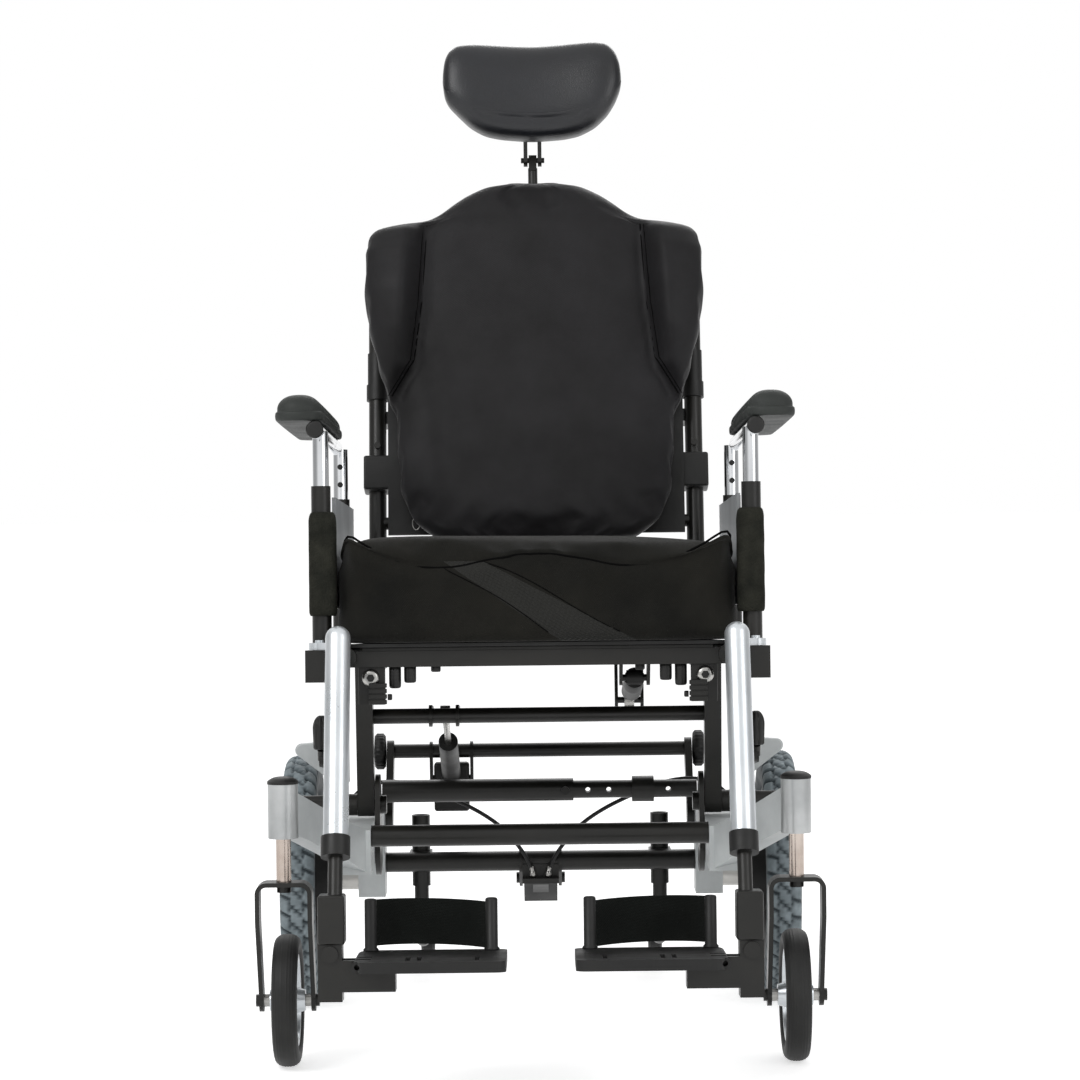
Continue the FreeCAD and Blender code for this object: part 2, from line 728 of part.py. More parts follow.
def brake_pedal():
    y, z = d.pedal_y, d.pedal_z
    half = d.pedal_width / 2
    arm = link(-10, 10, y, z, 10, y + 38, z - 18, 6, name="pedal_arm")
    tread = side_plate(segments([
        (y + 28, z - 10), (y + 74, z - 40), (y + 78, z - 34), (y + 32, z - 4),
    ]), -half, half, name="tread")
    pin = cross_rod(-22.5, 22.5, y, z, 7, "boss")
    ribs = []
    for i in range(6):
        at = i / 5
        ry, rz = y + 34 + 40 * at, z - 6 - 26 * at
        ribs.append(cross_rod(-half, half, ry, rz, 2.2, "rib"))
    body = fused(arm, tread, pin, *ribs, name="pedal_body")
    node("brake_pedal", cut(body, cross_rod(-40, 40, y, z, 4 + d.fit, "bore"), name="pedal"))


def brake_cables():
    solids = []
    for side in sides.values():
        route = [
            (side * 257, 222, 206), (side * 250, 212, 236), (side * 232, 204, 268), (side * 200, 198, 282),
            (side * 160, 196, 279), (side * 118, 196, 262), (side * 80, 198, 244), (side * 48, 200, 222),
            (side * 26, 202, 196), (side * 12, 206, 172), (side * 9, 207, 157.5),
        ]
        solids.append(pipe(route, d.cable_radius, name="brake_cable"))
    node("brake_cables", *solids)


def pedal_pin():
    pin = fused(
        cross_rod(-31, 31, d.pedal_y, d.pedal_z, 4, "pin"),
        cross_rod(-31, -27, d.pedal_y, d.pedal_z, 7, "head"),
        cross_rod(27, 31, d.pedal_y, d.pedal_z, 7, "head"),
        name="pedal_pin")
    return pin


# Anti-tip legs and wheels
def anti_tip(name, side):
    x = side * d.anti_tip_x
    y = d.rear_axle_y + 28
    wy, wz = d.anti_tip_wheel_y, d.anti_tip_wheel_z
    route = [(x, y, 228), (x, y, 70), (x, wy - 42, wz + 10)]
    leg = pipe(route, d.anti_tip_radius, bend=40, name="anti_tip_leg")
    fork = []
    for hand in (1, -1):
        fork.append(link(x + hand * 11, x + hand * 15, wy - 44, wz + 8, 9, wy, wz, 9, name="cheek"))
    bridge = block((x - 15, x + 15), (wy - 58, wy - 40), (wz, wz + 18), name="bridge")
    axle = cross_rod(x - 17, x + 17, wy, wz, 4, "axle")
    node(f"anti_tip_leg_{name}", fused(leg, bridge, axle, *fork, name="anti_tip_arm"))
    place = along_x(x, wy, wz)
    bore = 4 + d.fit
    wheel = turned(segments([
        (bore, -10.5), (9, -10.5), (10, -9), (d.anti_tip_wheel_radius - 3, -9), (d.anti_tip_wheel_radius, -6),
        (d.anti_tip_wheel_radius, 6), (d.anti_tip_wheel_radius - 3, 9), (10, 9), (9, 10.5), (bore, 10.5),
    ]), place, "wheel")
    node(f"anti_tip_wheel_{name}", wheel)


# Seat unit, drawn level
def seat_frame():
    z = d.rail_height
    rail_x = d.rail_inner + 18
    parts = []
    for side in sides.values():
        x = side * rail_x
        parts.append(rod((x, d.seat_rail_front, z), (x, d.seat_rail_back, z), "seat_rail_radius",
                         "seat_rail"))
        inner, outer = side * (d.rail_inner + 1), side * (d.rail_inner + 1 + d.down_bar_width)
        half = d.down_bar_depth / 2
        parts.append(link(inner, outer, d.tilt_pivot_y, d.tilt_pivot_z, half,
                          d.tilt_pivot_y - 30, z - 4, half, name="down_bar"))
        parts.append(link(side * (rail_x - 2.5), side * (rail_x + 3.5), d.seat_rail_back - 20, z, 10.5,
                          d.back_hinge_y, z, 13, name="hinge_plate"))
        parts.append(cross_rod(side * (d.back_post_x - 15), side * (rail_x + 9), d.back_hinge_y, z, 5,
                               "back_hinge_bolt"))
        parts.append(cross_rod(side * (d.back_post_x - 20), side * (d.back_post_x - 14.5),
                               d.back_hinge_y, z, 9, "bolt_head"))
    span = rail_x - 2
    parts.append(cross_rod(-span, span, -130, z - 2, "seat_cross_radius", "middle_bar"))
    parts.append(block((-span, span), (-286, -266), (z - 11, z + 7), name="front_bar"))
    parts.append(cross_rod(-span, span, 100, z - 1, "seat_cross_radius", "rear_bar"))
    lower = d.rail_inner + 6
    parts.append(cross_rod(-lower, lower, -34, d.seat_cross_z, "seat_cross_radius", "lower_bar"))
    reach = d.spring_radius + 2
    for x in (-d.spring_x - reach - 4, -d.spring_x + reach):
        parts.append(link(x, x + 4, -34, d.seat_cross_z, 13, *seat_spring_eye(), 9, name="tilt_spring_lug"))
    parts.append(cross_rod(-d.spring_x - reach, -d.spring_x + reach, *seat_spring_eye(), "spring_pin_radius",
                           "tilt_spring_pin"))
    for x in (d.spring_x - reach - 4, d.spring_x + reach):
        parts.append(link(x, x + 4, -130, z - 2, 13, *recline_seat_eye(), 9, name="recline_lug"))
    parts.append(cross_rod(d.spring_x - reach, d.spring_x + reach, *recline_seat_eye(), "spring_pin_radius",
                           "recline_pin"))
    bores = [
        cross_rod(s * 180, s * 232, d.tilt_pivot_y, d.tilt_pivot_z, d.pivot_bolt_radius + d.fit, "pivot_bore")
        for s in sides.values()
    ]
    node("seat_frame", cut(fused(*parts, name="seat_weldment"), *bores, name="seat_frame_solid"),
         place=seat_place)
    top = z + d.seat_rail_radius + d.gap
    plate = flat_plate(rounded_rectangle(-rail_x, rail_x, d.cushion_front + 16, d.seat_rail_back - 32, 25),
                       top, top + d.seat_plate_thickness, name="plate")
    node("seat_plate", plate, place=seat_place)


def seat_spring_eye():
    return (d.tilt_pivot_y + 55, d.seat_cross_z + 1)


def recline_seat_eye():
    return (-112, d.rail_height - 28)


def recline_back_eye():
    return (d.back_hinge_y, d.rail_height - 60)


def seat_cushion():
    base = d.rail_height + d.seat_rail_radius + d.seat_plate_thickness + 2 * d.gap
    half = d.seat_width / 2
    y0, y1 = d.cushion_front, d.cushion_front + d.cushion_depth - 5
    height = d.cushion_height
    wires = []
    for share, inset, sag in ((0, 7, 1), (0.08, 2, 2), (0.3, 0, 4), (0.62, 0, 4), (0.82, 4, 3), (0.93, 14, 2),
                              (0.98, 34, 1.5), (1.0, 75, 1)):
        outline = rounded_rectangle(-half + inset, half - inset, y0 + inset, y1 - inset,
                                    d.cushion_corner, sag)
        wires.append(wire_at(outline, FreeCAD.Placement(V(0, 0, base + share * height), FreeCAD.Rotation())))
    node("seat_cushion", lofted(wires, "cushion"), place=seat_place)


def side_sockets():
    """Armrest sockets, their blocks on the seat rails and the legrest receiver blocks."""
    z = d.rail_height
    solids, guards, foams = [], [], []
    rail_out = d.rail_inner + 18 + d.seat_rail_radius
    block_top = z + 9
    for side in sides.values():
        x = side * d.arm_post_x
        for y, depth, bottom in ((d.arm_front_y, d.block_depth, block_top - d.block_height),
                                 (d.arm_back_y, 30, z - 11)):
            y0 = d.swing_y - 17 if y < 0 else y - depth / 2
            body = block((side * (rail_out + d.gap), side * (rail_out + d.gap + d.block_width + 2)),
                         (y0, y0 + depth), (bottom, block_top), name="receiver_block")
            socket = rod((x, y, block_top - 2), (x, y, d.arm_socket_top), "arm_socket_radius", "socket")
            bore = rod((x, y, d.arm_post_bottom - 62), (x, y, d.arm_socket_top + 1),
                       d.arm_post_radius + d.fit, "socket_bore")
            pin_bore = rod((side * d.swing_x, d.swing_y, block_top - 26), (side * d.swing_x, d.swing_y,
                           block_top + 1), d.swing_pin_radius + d.fit, "swing_bore")
            tools = (bore, pin_bore) if y < 0 else (bore,)
            solids.append(cut(fused(body, socket, name="socket_blank"), *tools, name="socket"))
        inner = d.arm_post_x - d.arm_socket_radius - d.gap
        foam_x = side * (d.arm_post_x - 1.5)
        foam = block((foam_x - d.foam_width / 2, foam_x + d.foam_width / 2),
                     (d.arm_front_y - d.foam_depth / 2, d.arm_front_y + d.foam_depth / 2),
                     (d.foam_bottom, d.foam_bottom + d.foam_height), edge=5, name="foam")
        foams.append(cut(foam, rod((x, d.arm_front_y, 480), (x, d.arm_front_y, 640),
                                   d.arm_socket_radius + d.gap, "foam_bore"), name="foam_pad"))
        guard = side_plate(segments([
            (d.arm_front_y + d.foam_depth / 2 + 1, 508), (d.arm_back_y + 9, 508), (d.arm_back_y + 9, 634),
            (d.arm_front_y + d.foam_depth / 2 + 1, 634),
        ]), side * (inner - d.guard_thickness), side * inner, name="guard")
        guards.append(guard)
    node("frame_sockets", *solids, place=seat_place)
    node("side_guards", *guards, place=seat_place)
    node("side_foam_pads", *foams, place=seat_place)


# Armrests
def armrest(name, side):
    x = side * d.arm_post_x
    tube_x = side * d.arm_tube_x
    z = d.arm_tube_z
    front, back = d.arm_pad_front + 10, d.arm_pad_front + d.arm_pad_length - 20
    tube = rod((tube_x, front, z), (tube_x, back, z), "arm_post_radius", "arm_tube")
    posts = [rod((x, y, d.arm_post_bottom), (x, y, z), "arm_post_radius", "post")
             for y in (d.arm_front_y, d.arm_back_y)]
    frame = fused(tube, *posts, name="armrest_tube")
    knob = rod((tube_x, front - 5, z), (tube_x, front, z), d.arm_post_radius, "end_knob")
    holes = [rod((x, d.arm_back_y - 12, hz), (x, d.arm_back_y - 6, hz), 3, "height_hole")
             for hz in (664, 686)]
    node(f"armrest_frame_{name}", cut(frame, *holes, name="armrest_bars"), knob, place=seat_place)
    px = side * d.arm_pad_x
    half = d.arm_pad_width / 2
    bottom = z + d.arm_post_radius + d.gap
    y0 = d.arm_pad_front
    wires = []
    height = d.arm_pad_height
    pad_levels = ((0, 2), (0.12, 0), (0.34, 0), (0.36, 2.5), (0.62, 3), (0.85, 8), (0.96, 15), (1, 21))
    for share, inset in pad_levels:
        outline = rounded_rectangle(px - half + inset, px + half - inset, y0 + inset,
                                    y0 + d.arm_pad_length - inset, (half - inset) * 0.9)
        level = FreeCAD.Placement(V(0, 0, bottom + share * height), FreeCAD.Rotation())
        wires.append(wire_at(outline, level))
    node(f"armrest_pad_{name}", lofted(wires, "arm_pad", ruled=True), place=seat_place)


# Legrests
def hanger_way():
    drop = V(0, d.hanger_bottom_y - d.hanger_top_y, d.hanger_bottom_z - d.hanger_top_z)
    return drop.normalize()


def legrest(name, side):
    x = side * d.hanger_x
    way = hanger_way()
    top = V(x, d.hanger_top_y, d.hanger_top_z)
    bottom = V(x, d.hanger_bottom_y, d.hanger_bottom_z)
    tube = fused(rod(top, bottom, "hanger_radius", "tube"), ball(*top, "hanger_radius", "dome"),
                 name="hanger")
    bore = rod(top + way * 12, bottom + way, "hanger_bore", "bore")
    lug_z = d.rail_height + 9 + d.gap
    lug = rod((side * d.swing_x, d.swing_y, lug_z), (side * d.swing_x, d.swing_y, lug_z + 8), 12, "lug")
    pin = rod((side * d.swing_x, d.swing_y, lug_z - 24), (side * d.swing_x, d.swing_y, lug_z + 11),
              "swing_pin_radius", "swing_pin")
    reach = V(x - side * d.swing_x, d.hanger_top_y - d.swing_y + 2, 0)
    along = V(reach).normalize()
    across = V(-along.y, along.x, 0) * 8
    root = V(side * d.swing_x, d.swing_y, lug_z)
    corners = [root - across, root + across, root + reach + across, root + reach - across]
    arm = doc.addObject("Part::Feature", "lug_arm")
    arm.Shape = Part.Face(Part.makePolygon(corners + corners[:1])).extrude(V(0, 0, 8))
    hanger = cut(fused(tube, lug, arm, pin, name="hanger_weldment"), bore, name="hanger_tube")
    collar_end = bottom + way * d.collar_length
    collar = cut(rod(bottom, collar_end, "collar_radius", "collar"),
                 rod(bottom - way, collar_end + way, d.foot_tube_radius + d.fit, "collar_bore"),
                 name="hanger_collar")
    node(f"legrest_hanger_{name}", hanger, place=seat_place)
    node(f"legrest_collar_{name}", collar, place=seat_place)
    carrier_top = d.footplate_top + 69
    drop = (d.hanger_bottom_z - carrier_top) / -way.z
    tube_end = bottom + way * (drop + 8)
    foot_tube = rod(bottom - way * 95, tube_end, "foot_tube_radius", "foot_tube")
    cy = tube_end.y
    carrier = block((x - side * 11, x + side * 18), (cy - 20, cy + 20), (carrier_top - 53, carrier_top),
                    edge=3, name="carrier")
    plate = block((x - side * 8, x + side * 18), (cy - 17, cy + 17), (carrier_top - 114, carrier_top - 50),
                  name="carrier_plate")
    cap = rod((x + side * 5, cy - 21, carrier_top - 63), (x + side * 5, cy - 15, carrier_top - 63), 9, "cap")
    axis_z = d.footplate_top - d.footplate_thickness / 2
    base_top = d.footplate_top - d.footplate_thickness - 0.6
    bracket = block((side * (d.footplate_outer - 46), x + side * 4), (cy - 17, cy + 17),
                    (base_top - 22, base_top), name="bracket")
    pivot_x = side * (d.footplate_outer - 6)
    ears = [block((pivot_x - side * 5, x), (ey - 4, ey + 4), (base_top - 4, axis_z + 5), name="ear")
            for ey in (cy - 13, cy + 13)]
    pin = rod((pivot_x, cy - 20, axis_z), (pivot_x, cy + 20, axis_z), 3, "plate_pin")
    node(f"foot_tube_{name}", fused(foot_tube, carrier, plate, cap, bracket, *ears, pin, name="foot_carrier"),
         place=seat_place)
    footplate(name, side, cy, axis_z)


def footplate(name, side, cy, axis_z):
    y0, y1 = d.footplate_front, d.footplate_front + d.footplate_length
    z0 = d.footplate_top - d.footplate_thickness
    inner, outer = side * d.footplate_inner, side * (d.footplate_outer - 6)
    outline = rounded_rectangle(min(inner, outer), max(inner, outer), y0, y1, 12)
    slab = flat_plate(outline, z0, d.footplate_top, name="slab")
    barrel = rod((outer, y0 + 12, axis_z), (outer, y1 - 12, axis_z), d.footplate_thickness / 2, "barrel")
    slots = [block((side * a, side * (a + 5)), (y0 + 20, y0 + 60), (z0 - 1, d.footplate_top + 1), name="slot")
             for a in (66, 128, 140)]
    notches = [block((outer - 14, outer + 14), (ey - 4.5, ey + 4.5), (z0 - 1, d.footplate_top + 1),
                     name="notch")
               for ey in (cy - 13, cy + 13)]
    bore = rod((outer, y0, axis_z), (outer, y1, axis_z), 3 + d.fit, "pin_bore")
    node(f"footplate_{name}", cut(fused(slab, barrel, name="plate_blank"), *slots, *notches, bore,
                                  name="footplate"), place=seat_place)
    z1 = d.strap_bottom
    top = z1 + d.strap_height
    ring_y = y1 - 10
    posts = [block((side * a, side * (a + 14)), (ring_y - 8, ring_y + 8), (d.footplate_top, top + 2),
                   name="post")
             for a in (47, d.footplate_outer - 22)]
    inner_x, outer_x = 54, d.footplate_outer - 15
    middle = (inner_x + outer_x) / 2
    band_outer = segments([
        (side * inner_x, ring_y),
        ((side * middle, ring_y + d.strap_sag), (side * outer_x, ring_y)),
        (side * outer_x, ring_y + 4),
        ((side * middle, ring_y + d.strap_sag + 4), (side * inner_x, ring_y + 4)),
    ])
    band = flat_plate(band_outer, z1 + 1, top, name="band")
    node(f"heel_strap_{name}", fused(band, *posts, name="heel_loop"), place=seat_place)


# Back unit, drawn upright
def back_frame():
    z = d.rail_height
    y = d.back_hinge_y
    parts = []
    for side in sides.values():
        x = side * d.back_post_x
        parts.append(rod((x, y, z - 16), (x, y, d.back_post_top), "back_post_radius", "post"))
        parts.append(rod((side * d.push_bar_x, d.push_bar_y, 745), (side * d.push_bar_x, d.push_bar_y, 875),
                         d.push_bar_radius + 2.5, "bar_socket"))
        for bz in (757, 863):
            parts.append(block((side * (d.push_bar_x - 4), side * (d.back_post_x + 4)),
                               (y, d.push_bar_y), (bz - 8, bz + 8), name="socket_arm"))
        parts.append(rod((x, y - 16, 718), (x, y + 16, 718), 4, "post_bolt"))
    span = d.back_post_x
    for bz in (500, 620, 863, 925):
        parts.append(cross_rod(-span, span, y, bz, 8, "cross_bar"))
    sy = d.headrest_stem_y
    parts.append(rod((0, sy + 6, 835), (0, sy + 6, 1000), d.headrest_stem_radius + 4, "stem_socket"))
    reach = d.spring_radius + 2
    for x in (d.spring_x - reach - 4, d.spring_x + reach):
        parts.append(link(x, x + 4, y, 500, 13, *recline_back_eye(), 9, name="recline_lever"))
    parts.append(cross_rod(d.spring_x - reach, d.spring_x + reach, *recline_back_eye(), "spring_pin_radius",
                           "lever_pin"))
    tools = [rod((s * d.push_bar_x, d.push_bar_y, 740), (s * d.push_bar_x, d.push_bar_y, 900),
                 d.push_bar_radius + d.fit, "bar_bore") for s in sides.values()]
    tools += [cross_rod(s * 180, s * 220, y, z, 5 + d.fit, "hinge_bore") for s in sides.values()]
    tools.append(rod((0, sy + 6, 830), (0, sy + 6, 1010), d.headrest_stem_radius + d.fit, "stem_bore"))
    foot = d.back_post_radius - d.post_mark_depth
    mark = segments([(foot, 0), (foot + 3, 0), (foot + 3, d.post_mark_width), (foot, d.post_mark_width)])
    for side in sides.values():
        place = FreeCAD.Placement(V(side * d.back_post_x, y, d.post_mark_z), FreeCAD.Rotation())
        tools.append(turned(mark, place, "post_mark"))
    node("back_frame", cut(fused(*parts, name="back_weldment"), *tools, name="back_frame_solid"),
         place=back_place)


def back_clamps():
    solids = []
    y = d.back_hinge_y
    for side in sides.values():
        x = side * d.back_post_x
        for low, high, r in ((779, 799, 14), (799.3, 840, 12.5)):
            solids.append(cut(rod((x, y, low), (x, y, high), r, "collar"),
                              rod((x, y, low - 1), (x, y, high + 1), "back_post_radius", "collar_bore"),
                              name="post_collar"))
        shell_back = d.back_cushion_back + d.shell_thickness + 2 * d.gap
        clamp = block((x - side * 17, x + side * 17), (shell_back, y + 16), (660, 704), edge=3, name="clamp")
        solids.append(cut(clamp, rod((x, y, 650), (x, y, 710), "back_post_radius", "clamp_bore"),
                          name="shell_clamp"))
    node("back_clamps", *solids, place=back_place)


def back_section(z, half, nose, thin):
    """Level outline of the back cushion: flat back, round sides, two bolsters, crowned middle."""
    back = d.back_cushion_back
    face = back - (d.back_cushion_back - d.back_cushion_face) * thin
    tip = face - nose
    rb = min(16, (back - tip) * 0.3)
    rn = min(18, (back - tip) * 0.4, half * 0.2)
    inner = half - 2 * rn
    foot = max(inner - 12 - nose * 0.6, half * 0.3)
    k = 1 - cos(pi / 4)
    outline = segments([
        (-half + rb, back),
        (half - rb, back),
        ((half - rb * k, back - rb * k), (half, back - rb)),
        (half, tip + rn),
        ((half - rn * k, tip + rn * k), (half - rn, tip)),
        ((inner + rn * k, tip + rn * k), (inner, tip + rn)),
        (foot, face + 1),
        ((0, face - 7), (-foot, face + 1)),
        (-inner, tip + rn),
        ((-inner - rn * k, tip + rn * k), (-half + rn, tip)),
        ((-half + rn * k, tip + rn * k), (-half, tip + rn)),
        (-half, back - rb),
        ((-half + rb * k, back - rb * k), (-half + rb, back)),
    ])
    return wire_at(outline, FreeCAD.Placement(V(0, 0, z), FreeCAD.Rotation()))


def back_cushion():
    rows = (
        (578, 70, 0, 0.45), (590, 122, 0, 0.75), (612, 152, 2, 0.95), (650, 170, 4, 1.0),
        (700, 176, 6, 1.0), (755, 178, 10, 1.0), (800, 194, 26, 1.0), (850, 208, 44, 1.0),
        (900, 213, 50, 1.0), (950, 211, 46, 1.0), (974, 206, 32, 1.0), (988, 192, 18, 1.0),
        (996, 156, 8, 1.0), (1012, 114, 2, 0.98), (1032, 82, 0, 0.9), (1049, 42, 0, 0.5),
    )
    levels = [back_section(*row) for row in rows]
    node("back_cushion", lofted(levels, "back_pad", ruled=True), place=back_place)
    y0 = d.back_cushion_back + d.gap
    shell = block((-186, 186), (y0, y0 + d.shell_thickness), (600, 985), name="shell")
    node("back_shell", shell, place=back_place)


# Push bar with grip and release levers
def push_bar():
    x, y, top = d.push_bar_x, d.push_bar_y, d.push_bar_top
    reach = d.push_bar_reach
    route = [(-x, y, 800), (-x, y, top), (-x, y + reach, top + 22), (x, y + reach, top + 22), (x, y, top),
             (x, y, 800)]
    bar = pipe(route, d.push_bar_radius, bend=30, name="push_bar_tube")
    lugs = []
    for lever_x in (-70, 70):
        for hand in (1, -1):
            lx = lever_x + hand * 16
            lugs.append(link(lx - 2, lx + 2, y + reach, top + 22, 12, y + reach - 24, top + 8, 8,
                             name="lever_lug"))
        lugs.append(cross_rod(lever_x - 18, lever_x + 18, y + reach - 24, top + 8, 3, "lever_pin"))
    node("push_bar", fused(bar, *lugs, name="push_handle"), place=back_place)
    grips = []
    for x0, x1 in ((-140, -92), (-48, 48), (92, 140)):
        grips.append(cut(cross_rod(x0, x1, y + reach, top + 22, "grip_radius", "grip"),
                         cross_rod(x0 - 1, x1 + 1, y + reach, top + 22, "push_bar_radius", "grip_bore"),
                         name="push_grip"))
    node("push_grips", *grips, place=back_place)
    for name, lever_x in (("tilt", 70), ("recline", -70)):
        ly, lz = y + reach - 24, top + 8
        lever = fused(
            cross_rod(lever_x - 13.5, lever_x + 13.5, ly, lz, 6.5, "boss"),
            link(lever_x - 12, lever_x + 12, ly, lz - 1, 5, ly + 30, lz - 20, 3.5, name="blade"),
            name="lever_blank")
        node(f"{name}_release_lever",
             cut(lever, cross_rod(lever_x - 20, lever_x + 20, ly, lz, 3 + d.fit, "lever_bore"),
                 name="release_lever"), place=back_place)


# Headrest
def headrest():
    sy = d.headrest_stem_y + 6
    hz = d.head_hinge_z
    stem = fused(rod((0, sy, 880), (0, sy, hz - 11), "headrest_stem_radius", "stem"),
                 block((-5, 5), (sy - 7, sy + 7), (hz - 15, hz + 5), name="stem_eye"),
                 cross_rod(-15, 15, sy, hz, 3.5, "head_pin"),
                 name="headrest_stem_solid")
    node("headrest_stem", stem, place=back_place)
    face_back = sy - 22
    cheeks = [link(x, x + 5, sy, hz, 8, face_back + 8, hz + 30, 8, name="cheek") for x in (-11.5, 6.5)]
    pan = block((-52, 52), (face_back, face_back + 4), (hz + 26, hz + 90), name="pan")
    pan_solid = cut(fused(pan, *cheeks, name="pan_blank"),
                    cross_rod(-20, 20, sy, hz, 3.5 + d.fit, "pin_bore"),
                    name="headrest_pan_solid")
    node("headrest_pan", pan_solid, place=back_place)
    wires = []
    half_width = d.headrest_width / 2
    tall = d.headrest_height
    back = face_back - d.gap
    one_side = ((1, 0.5, 17, 0.45), (0.96, 0.78, 16, 0.75), (0.86, 0.95, 13, 0.95), (0.6, 1, 7, 1))
    stations = [(-row[0], *row[1:]) for row in one_side] + [(0, 0.97, 0, 1)] + list(one_side[::-1])
    for share, height, lean, deep in stations:
        x = share * half_width
        h = tall * height
        low = d.headrest_bottom + (tall - h) / 2
        depth = d.headrest_depth * deep
        y1 = back - lean
        y0 = y1 - depth
        outline = rounded_rectangle(y0, y1, low, low + h, min(20, depth * 0.4), 0)
        place = FreeCAD.Placement(V(x, 0, 0), FreeCAD.Rotation(V(1, 1, 1), 120))
        wires.append(wire_at(outline, place))
    node("headrest_cushion", lofted(wires, "head_pad", ruled=True), place=back_place)


# Gas springs: a cylinder with its head and a rod with its eye, between two pins
def gas_spring(label, x, base_eye, rod_eye, head):
    start, end = V(x, *base_eye), V(x, *rod_eye)
    way = (end - start).normalize()
    length = (end - start).Length
    tube_end = start + way * (length * 0.58)
    bore_r = d.spring_rod_radius + d.fit
    body = [rod(start, tube_end, "spring_radius", "cylinder"),
            cross_rod(x - 9.5, x + 9.5, *base_eye, 9, "eye")]
    if head:
        body.append(block((x - 22.5, x + 22.5), (base_eye[0] - 14, base_eye[0] + 14),
                          (base_eye[1] - 42, base_eye[1] + 20), edge=4, name="release_head"))
    cylinder = cut(fused(*body, name="cylinder_blank"),
                   rod(start + way * (length * 0.12), tube_end + way, bore_r, "rod_bore"),
                   cross_rod(x - 30, x + 30, *base_eye, d.spring_pin_radius + d.fit, "pin_bore"),
                   name="gas_cylinder")
    eye_hole = d.spring_pin_radius + d.spring_slack
    plunger = cut(fused(rod(start + way * (length * 0.34), end, "spring_rod_radius", "rod"),
                        cross_rod(x - 6, x + 6, *rod_eye, eye_hole + 3.5, "rod_eye"), name="rod_blank"),
                  cross_rod(x - 10, x + 10, *rod_eye, eye_hole, "eye_hole"), name="gas_rod")
    return cylinder, plunger


def springs():
    eye = seat_place.multVec(V(0, *seat_spring_eye()))
    base_eye = (d.upper_tube_y, d.upper_tube_z - 35)
    cylinder, plunger = gas_spring("tilt", -d.spring_x, base_eye, (eye.y, eye.z), True)
    node("tilt_spring_cylinder", cylinder)
    node("tilt_spring_rod", plunger)
    hinge = turned_about(d.back_hinge_y, d.rail_height, -d.back_angle)
    back_eye = hinge.multVec(V(0, *recline_back_eye()))
    cylinder, plunger = gas_spring("recline", d.spring_x, recline_seat_eye(), (back_eye.y, back_eye.z), False)
    node("recline_spring_cylinder", cylinder, place=seat_place)
    node("recline_spring_rod", plunger, place=seat_place)


for side_name, hand in sides.items():
    rear_wheel(side_name, hand)
    caster(side_name, hand)
    anti_tip(side_name, hand)
    armrest(side_name, hand)
    legrest(side_name, hand)
rear_axles()
caster_housings()
base_side_rails()
base_cross_tubes()
tilt_pivot_plates()
wheel_locks()
brake_pedal()
brake_cables()
seat_frame()
seat_cushion()
side_sockets()
back_frame()
back_clamps()
back_cushion()
push_bar()
headrest()
springs()

doc.recompute()
for obj in doc.Objects:
    if "Invalid" in obj.State or "Error" in obj.State:
        raise RuntimeError(f"{obj.Name} ({obj.Label}) failed: {obj.State}")
for label, obj in nodes.items():
    if obj.Shape.isNull() or not obj.Shape.isValid() or not obj.Shape.Solids:
        raise RuntimeError(f"{label} has no valid solid")
os.makedirs("parts", exist_ok=True)
for label, obj in nodes.items():
    obj.Shape.exportStep(os.path.join("parts", label + ".step"))
print(len(nodes), "nodes written")
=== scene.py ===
import math
import bmesh
import bpy
import numpy as np
from mathutils import Matrix, Vector
from mathutils.bvhtree import BVHTree


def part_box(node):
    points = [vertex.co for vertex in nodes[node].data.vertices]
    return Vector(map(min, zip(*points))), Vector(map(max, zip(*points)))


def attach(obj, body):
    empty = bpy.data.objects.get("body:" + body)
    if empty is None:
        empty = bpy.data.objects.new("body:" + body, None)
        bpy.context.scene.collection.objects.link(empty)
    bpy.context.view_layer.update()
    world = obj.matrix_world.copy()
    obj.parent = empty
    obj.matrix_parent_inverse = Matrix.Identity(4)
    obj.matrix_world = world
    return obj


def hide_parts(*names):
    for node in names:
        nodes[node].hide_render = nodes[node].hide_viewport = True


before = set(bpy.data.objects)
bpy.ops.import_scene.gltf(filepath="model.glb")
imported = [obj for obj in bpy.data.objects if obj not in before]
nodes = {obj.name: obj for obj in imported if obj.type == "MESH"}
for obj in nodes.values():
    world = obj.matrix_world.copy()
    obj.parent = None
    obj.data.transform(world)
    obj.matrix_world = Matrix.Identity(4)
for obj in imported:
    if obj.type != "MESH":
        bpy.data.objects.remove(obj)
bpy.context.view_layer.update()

# The seat unit leans back about the tilt pivot, the back unit leans further about the back hinge.
chair = {
    "seatTilt": 3.0, "pivotY": -0.030, "pivotZ": 0.275,
    "backAngle": 10.0, "hingeY": 0.165, "hingeZ": 0.452,
}


# turned back about a cross axis at (y, z): y' = y cos + z sin, z' = z cos - y sin
def turnedBack(points, degrees, y, z):
    angle = math.radians(degrees)
    points = np.array(points, float)
    dy, dz = points[..., 1] - y, points[..., 2] - z
    points[..., 1] = y + dy * math.cos(angle) + dz * math.sin(angle)
    points[..., 2] = z + dz * math.cos(angle) - dy * math.sin(angle)
    return points


def onSeat(points):
    return turnedBack(points, chair["seatTilt"], chair["pivotY"], chair["pivotZ"])


def onBack(points):
    return onSeat(turnedBack(points, chair["backAngle"], chair["hingeY"], chair["hingeZ"]))


# Camera, floor and light
view = {
    "place": (0.004, -4.25, 0.70), "pitch": -1.51, "roll": -0.65, "lens": 118.0,
    "floorColour": 0.88, "floorLift": 0.60, "worldLight": 0.52,
    "glossSide": 0.42, "glossSpan": (0.45, 0.98), "floorReach": 30.0,
}


